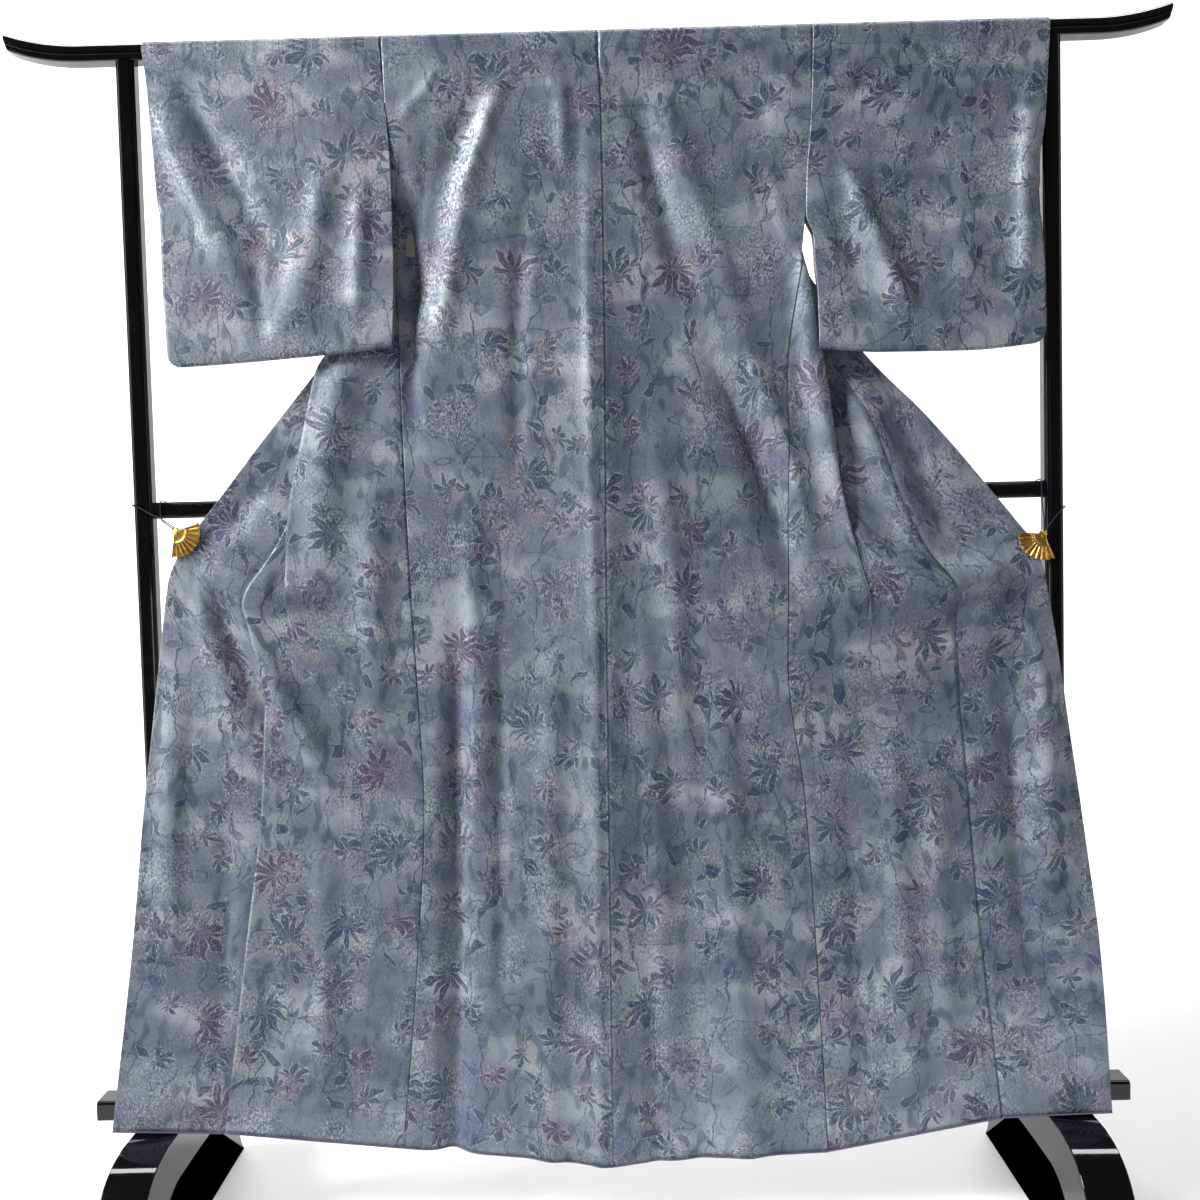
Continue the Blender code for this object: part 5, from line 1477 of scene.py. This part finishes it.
def body_strip(side, sign, silk, lining):
    """Back hem, over the rail, to the front hem, with the neck cut out of the middle."""
    x, _, _ = front_places(side, WRAP_CENTRE)
    side_x = SIDE[side]("x", WRAP_CENTRE)
    middle = sign * CENTRE("x", WRAP_CENTRE) + SEAM / 2
    neck_columns = (x[::-1] - middle) / (side_x - middle)
    hang = fine_rows(HANG_ROWS, ROW_STEP, CREASE_ROWS)
    rows = [back_row(side, sign, row, back_shares(row, neck_columns)) for row in hang[::-1]]
    wrap_rows, wrap_at = over_rail(rows[-1])
    rows += wrap_rows
    at = list(-hang[::-1]) + wrap_at
    for row in hang:
        spread = front_row(side, sign, row)
        rows.append(np.concatenate([np.repeat(spread[:1], NECK_COLUMNS, axis=0), spread]))
        at.append(row)
    first_cut = len(hang) + len(WRAP_TURNS) - NECK_FROM_END
    rows = np.array(rows)
    across = lengths_along(rows[:, ::-1])[:, ::-1]
    true_width = np.where(np.arange(len(rows)) < len(hang), STRIP_WIDTH,
                          np.where(np.array(at) > OKUMI_START, FRONT_WIDTH, across.max(axis=1)))
    across *= (true_width / across.max(axis=1))[:, None]
    area = flat_area(rows[:first_cut + 1]) + flat_area(rows[first_cut:, NECK_COLUMNS:])
    from_across, from_along = CUT_FROM[f"body_{side}"]
    across = sign * across + from_across
    along = np.array(at)[:, None] + from_along
    if sign < 0:
        rows, across = rows[:, ::-1], across[:, ::-1]
    columns = rows.shape[1] - 1

    def neck(row, column):
        inward = column if sign > 0 else columns - 1 - column
        return row >= first_cut and inward < NECK_COLUMNS

    piece = sheet_piece(f"silk_body_{side}", rows, across, along, (silk, lining), neck)
    front_hem = rows[-1, NECK_COLUMNS:] if sign > 0 else rows[-1, :-NECK_COLUMNS]
    rolls = [hem_roll(f"hem_roll_back_{side}", rows[0]), hem_roll(f"hem_roll_front_{side}", front_hem)]
    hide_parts(f"body_{side}")
    print("   flat area", round(area, 3))
    return rows


# %% [markdown]
# ## The overlap strips
# A narrow strip is sewn to each front below the neck, so that the fronts can lap over each other. Its
# outer edge is held by a clip, which draws the whole front out to the post.
# %% One overlap strip
OKUMI_COLUMNS = 34


def okumi_strip(side, sign, silk, lining):
    """From the overlap's point to the hem, between its seam and its free edge."""
    start_rows = (OKUMI_START,) + tuple(r for r in HANG_ROWS if r > OKUMI_START)
    at = fine_rows(start_rows, ROW_STEP, CREASE_ROWS)
    rows = []
    for row in at:
        seam, edge = INNER[side].place(row), OUTER[side].place(row)
        width = np.linalg.norm(edge - seam)
        shares = even_shares(OKUMI_COLUMNS) * (1 + SEAM_LAP / width) - SEAM_LAP / width
        x = seam[0] + shares * (edge[0] - seam[0])
        drop = seam[1] + shares * (edge[1] - seam[1])
        y = INNER_DEPTH("y", drop) * (1 - shares) + OUTER_DEPTH("y", drop) * shares
        rise = body_rise(sign, x, drop) * inner_share(side, min(row, PLEAT_END), x, drop)
        under = SEAM_UNDER * ramp(SEAM_REACH, 0.0, shares * width)
        rows.append(world(sign, x, y - rise + under, drop))
    rows = np.array(rows)
    area = flat_area(rows)
    from_across, from_along = CUT_FROM[f"okumi_{side}"]
    across = sign * lengths_along(rows) + from_across
    along = at[:, None] + from_along
    if sign > 0:
        rows, across = rows[:, ::-1], across[:, ::-1]
    piece = sheet_piece(f"silk_okumi_{side}", rows, across, along, (silk, lining))
    roll = hem_roll(f"hem_roll_okumi_{side}", rows[-1])
    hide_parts(f"okumi_{side}")
    print("   flat area", round(area, 3))


# %% [markdown]
# ## The sleeves
# A sleeve is one strip folded over the rail: a front and a rear layer, sewn along the bottom and up the
# outer edge to the wrist opening. Its inner edge is sewn to the body only at the top.
# %% One sleeve
SLEEVE = {
    "right": Guide("row inner outer", (0, 313, 652), (60, 311.2, 648), (145, 306.5, 641), (219, 299, 630),
                   (280, 296.5, 631), (307, 306, 633), (345, 306.5, 634), (387, 309.5, 635),
                   (470, 310, 634)),
    "left": Guide("row inner outer", (0, 308, 653), (60, 306, 646), (140, 299.5, 640), (200, 296.5, 636),
                  (251, 295.5, 632), (336, 294.5, 629), (382, 295, 627), (470, 298.5, 622)),
}
SLEEVE_BOTTOM = {
    "right": Guide("x drop", (310, 469), (400, 476), (520, 477), (640, 467)),
    "left": Guide("x drop", (300, 452), (420, 462), (540, 470), (630, 474)),
}
SLEEVE_FRONT = Guide("row y", (0, -16.5), (40, -16.8), (100, -18.5), (200, -24), (300, -32), (400, -40),
                     (480, -45))
SLEEVE_REAR = Guide("row y", (0, 16.5), (100, 16.5), (150, 12), (200, 4), (250, -6), (300, -16),
                    (335, -23.5), (400, -29), (480, -35))
SLEEVE_REAR_REACH = 0.636   # x' that the rear layer keeps to where it passes beside the post
SLEEVE_HEM = 0.470
SLEEVE_LEVEL_TO = 0.25      # rows below this one follow the bottom's curve
SLEEVE_ROWS = (WRAP_CENTRE, 0.04, 0.08, 0.12, 0.16, 0.20, 0.235, 0.25, 0.29, 0.33, 0.37, 0.41, 0.44)
WRIST_OPENING = 0.23
HEM_ROUND = 0.0045          # how far in from a sewn edge the two layers of a sleeve part
SLEEVE_CORNER = 0.020
SLEEVE_COLUMNS = 58
SLEEVE_WIDTH = 0.34
WIDTH_ROW = 0.3             # the row whose width stands for all rows where the edge is rounded
SLEEVE_ROW_STEP = 0.0075
REAR_REACH_FROM = (0.05, 0.10)      # rows over which the rear layer draws in beside the post
REAR_FOLDS_END = (0.30, 0.12)       # rows over which its folds begin, from the bottom up
# places on the rounding of a sewn edge, as shares of HEM_ROUND from the seam
ROUNDING = np.array([0.0, 0.06, 0.18, 0.36, 0.62, 1.0])


def sleeve_layer(side, sign, row, shares, front):
    """One row of a sleeve's front or rear layer, from the body side to the wrist."""
    inner, outer = SLEEVE[side].place(row)
    if not front and side == "right":
        outer = outer + (min(outer, SLEEVE_REAR_REACH) - outer) * float(ramp(*REAR_REACH_FROM, row))
    x = inner + shares * (outer - inner)
    bottom = SLEEVE_BOTTOM[side]("drop", x)
    corner = np.clip((x - outer + SLEEVE_CORNER) / SLEEVE_CORNER, 0.0, 1.0)
    bottom = bottom - SLEEVE_CORNER * (1 - np.sqrt(1 - np.minimum(corner, 0.999) ** 2))
    drop = row + (bottom - SLEEVE_HEM) * ramp(SLEEVE_LEVEL_TO, SLEEVE_ROWS[-1], row)
    if front:
        rise = relief(FRONT_SLEEVE_FOLDS, sign * x, drop) * ramp(*FOLDS_FROM, row)
        y = SLEEVE_FRONT("y", drop) - rise
    else:
        rise = relief(REAR_SLEEVE_FOLDS, sign * x, drop) * ramp(*REAR_FOLDS_END, row)
        y = SLEEVE_REAR("y", drop) - rise
    return x, y, drop


# %% A whole sleeve
def sleeve(side, sign, silk, lining):
    """Front bottom, over the rail, to the rear bottom; sewn along the bottom and below the wrist opening."""
    inner, outer = SLEEVE[side].place(WIDTH_ROW)
    width = outer - inner
    rounding = ROUNDING * HEM_ROUND
    flat_shares = even_shares(SLEEVE_COLUMNS) * (1 - HEM_ROUND / width)
    shares = np.concatenate([flat_shares, 1 - rounding[-2::-1] / width])
    layer_rows = np.concatenate([fine_rows(SLEEVE_ROWS + (SLEEVE_HEM - HEM_ROUND,), SLEEVE_ROW_STEP),
                                 SLEEVE_HEM - rounding[-2::-1]])
    layers = {True: [], False: []}
    for row in layer_rows:
        front = np.array(sleeve_layer(side, sign, row, shares, True))
        rear = np.array(sleeve_layer(side, sign, row, shares, False))
        meet = (front + rear) / 2
        sewn = ramp(WRIST_OPENING, SLEEVE_ROWS[7], row)
        sewn_side = 1 - sewn * (1 - np.clip((1 - shares) * width / HEM_ROUND, 0.0, 1.0))
        sewn_bottom = np.clip((SLEEVE_HEM - row) / HEM_ROUND, 0.0, 1.0)
        open_share = np.sqrt(1 - (1 - sewn_side) ** 2) * np.sqrt(1 - (1 - sewn_bottom) ** 2)
        for is_front, layer in ((True, front), (False, rear)):
            x, y, drop = meet + (layer - meet) * open_share
            layers[is_front].append(world(sign, x, y, drop))
    wrap_rows, wrap_at = over_rail(layers[True][0])
    rows = np.array(layers[True][::-1] + wrap_rows + layers[False])
    at = np.array(list(-layer_rows[::-1]) + wrap_at + list(layer_rows))
    area = flat_area(rows)
    from_across, from_along = CUT_FROM[f"sleeve_{side}"]
    across = sign * np.broadcast_to(shares * SLEEVE_WIDTH, rows.shape[:2]) + from_across
    along = at[:, None] + from_along
    if sign < 0:
        rows, across = rows[:, ::-1], across[:, ::-1]
    piece = sheet_piece(f"silk_sleeve_{side}", rows, across, along, (silk, lining), merge=0.00005)
    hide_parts(f"sleeve_{side}")
    print("   flat area", round(area, 3))


# %% [markdown]
# ## The collar
# The collar is a long doubled band. From the back of the neck it goes down along both fronts to the
# overlap's corners. On the stand it lies folded in behind the fronts.
# %% The collar band
COLLAR_START = 35.0         # degrees past the rail's top, over the neck edge of the backs
COLLAR_BEHIND = 0.0060
COLLAR_LIFT = (0.0022, 0.0012)      # over the backs at the middle, and added toward the neck's corner
COLLAR_CORNER_LEAN = 0.015          # how far its lower edge leans in at the neck's corner
NECK_HALF = 0.0875
# the collar's width, and how far it leans inward from straight down
COLLAR_LAY = Guide("row width lean_degrees", (0, 55, 26.8), (50, 55, 36), (100, 57, 46), (160, 60, 54.4),
                   (325, 82.5, 54.4), (450, 100, 54.4), (600, 110, 54.4), (820, 110, 54.4))
COLLAR_SHELL = 0.0016
COLLAR_NECK_ROWS = 22       # of each half, along the back of the neck
# columns from the seam inward, closer together where the band turns over the rail
COLLAR_COLUMNS = np.concatenate([np.linspace(0.0, 0.36, 13), np.linspace(0.36, 1.0, 17)[1:]])


def collar_half(side, sign):
    """Rows of the band from the middle of the back neck to the clip, each from its seam inward."""
    rows = []
    across = COLLAR_COLUMNS
    start = math.radians(COLLAR_START)
    for share in np.linspace(0, 1, COLLAR_NECK_ROWS):
        radius = WRAP_RADIUS + COLLAR_LIFT[0] + COLLAR_LIFT[1] * share ** 2
        arc = (math.pi / 2 - start) * radius
        length = across * COLLAR_LAY("width", 0.0)
        turn = start + np.minimum(length / arc, 1.0) * (math.pi / 2 - start)
        x = share * NECK_HALF + sign * CENTRE("x", 0.0) * (1 - share) - COLLAR_CORNER_LEAN * share * across
        drop = WRAP_CENTRE - radius * np.cos(turn) + np.maximum(length - arc, 0.0)
        rows.append(world(sign, x, radius * np.sin(turn), drop))
    for row in fine_rows([r for r in HANG_ROWS if r <= PLEAT_END], 0.010):
        seam = OUTER[side].place(row)
        turn = math.radians(COLLAR_LAY("lean_degrees", row))
        width = COLLAR_LAY("width", row)
        x = seam[0] - math.sin(turn) * across * width
        drop = seam[1] + math.cos(turn) * across * width
        rise = relief(BODY_FOLDS, sign * x, drop) * inner_share(side, row, x, drop)
        rows.append(world(sign, x, INNER_DEPTH("y", drop) + COLLAR_BEHIND - rise, drop))
    return rows


# %% The whole collar
def collar(silk):
    """Both halves of the band as one piece."""
    rows = np.array(collar_half("left", -1.0)[::-1] + collar_half("right", 1.0)[1:])
    area = flat_area(rows)
    across = lengths_along(rows)
    from_across, from_along = CUT_FROM["collar"]
    along = reach_along(rows[:, 0])[:, None] + from_along
    piece = sheet_piece("silk_collar", rows[:, ::-1], across[:, ::-1] + from_across, along, (silk,),
                        thickness=COLLAR_SHELL)
    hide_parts("collar")
    print("   flat area", round(area, 3))


# %% [markdown]
# ## Put it together
# The cloth comes last, because every strip shares the same two silks: the figured outside and the plain
# lining. Each strip prints its flat area as it is made.
# %% Make the cloth, clips and cords
silk = figured_silk("figured_silk")
lining = plain_silk("lining_silk", LINING, SKIRT_LINING)
roll_silk = plain_silk("hem_roll_silk", SKIRT_LINING, SKIRT_LINING)
purple = cord_silk("cord_silk")
for i, (side, sign) in enumerate(SIDES):
    body_strip(side, sign, silk, lining)
    okumi_strip(side, sign, silk, lining)
    sleeve(side, sign, silk, lining)
    clip(side, 11.0 + i)
    cord(side, purple)
collar(silk)

# %% [markdown]
# ## The size
# Both boxes, of the solids and of the finished model, are printed side by side.
# %% Size
visual_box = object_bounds()
for name, box in (("solids", cad_box), ("finished", visual_box)):
    print(name, [[round(v, 4) for v in corner] for corner in box])
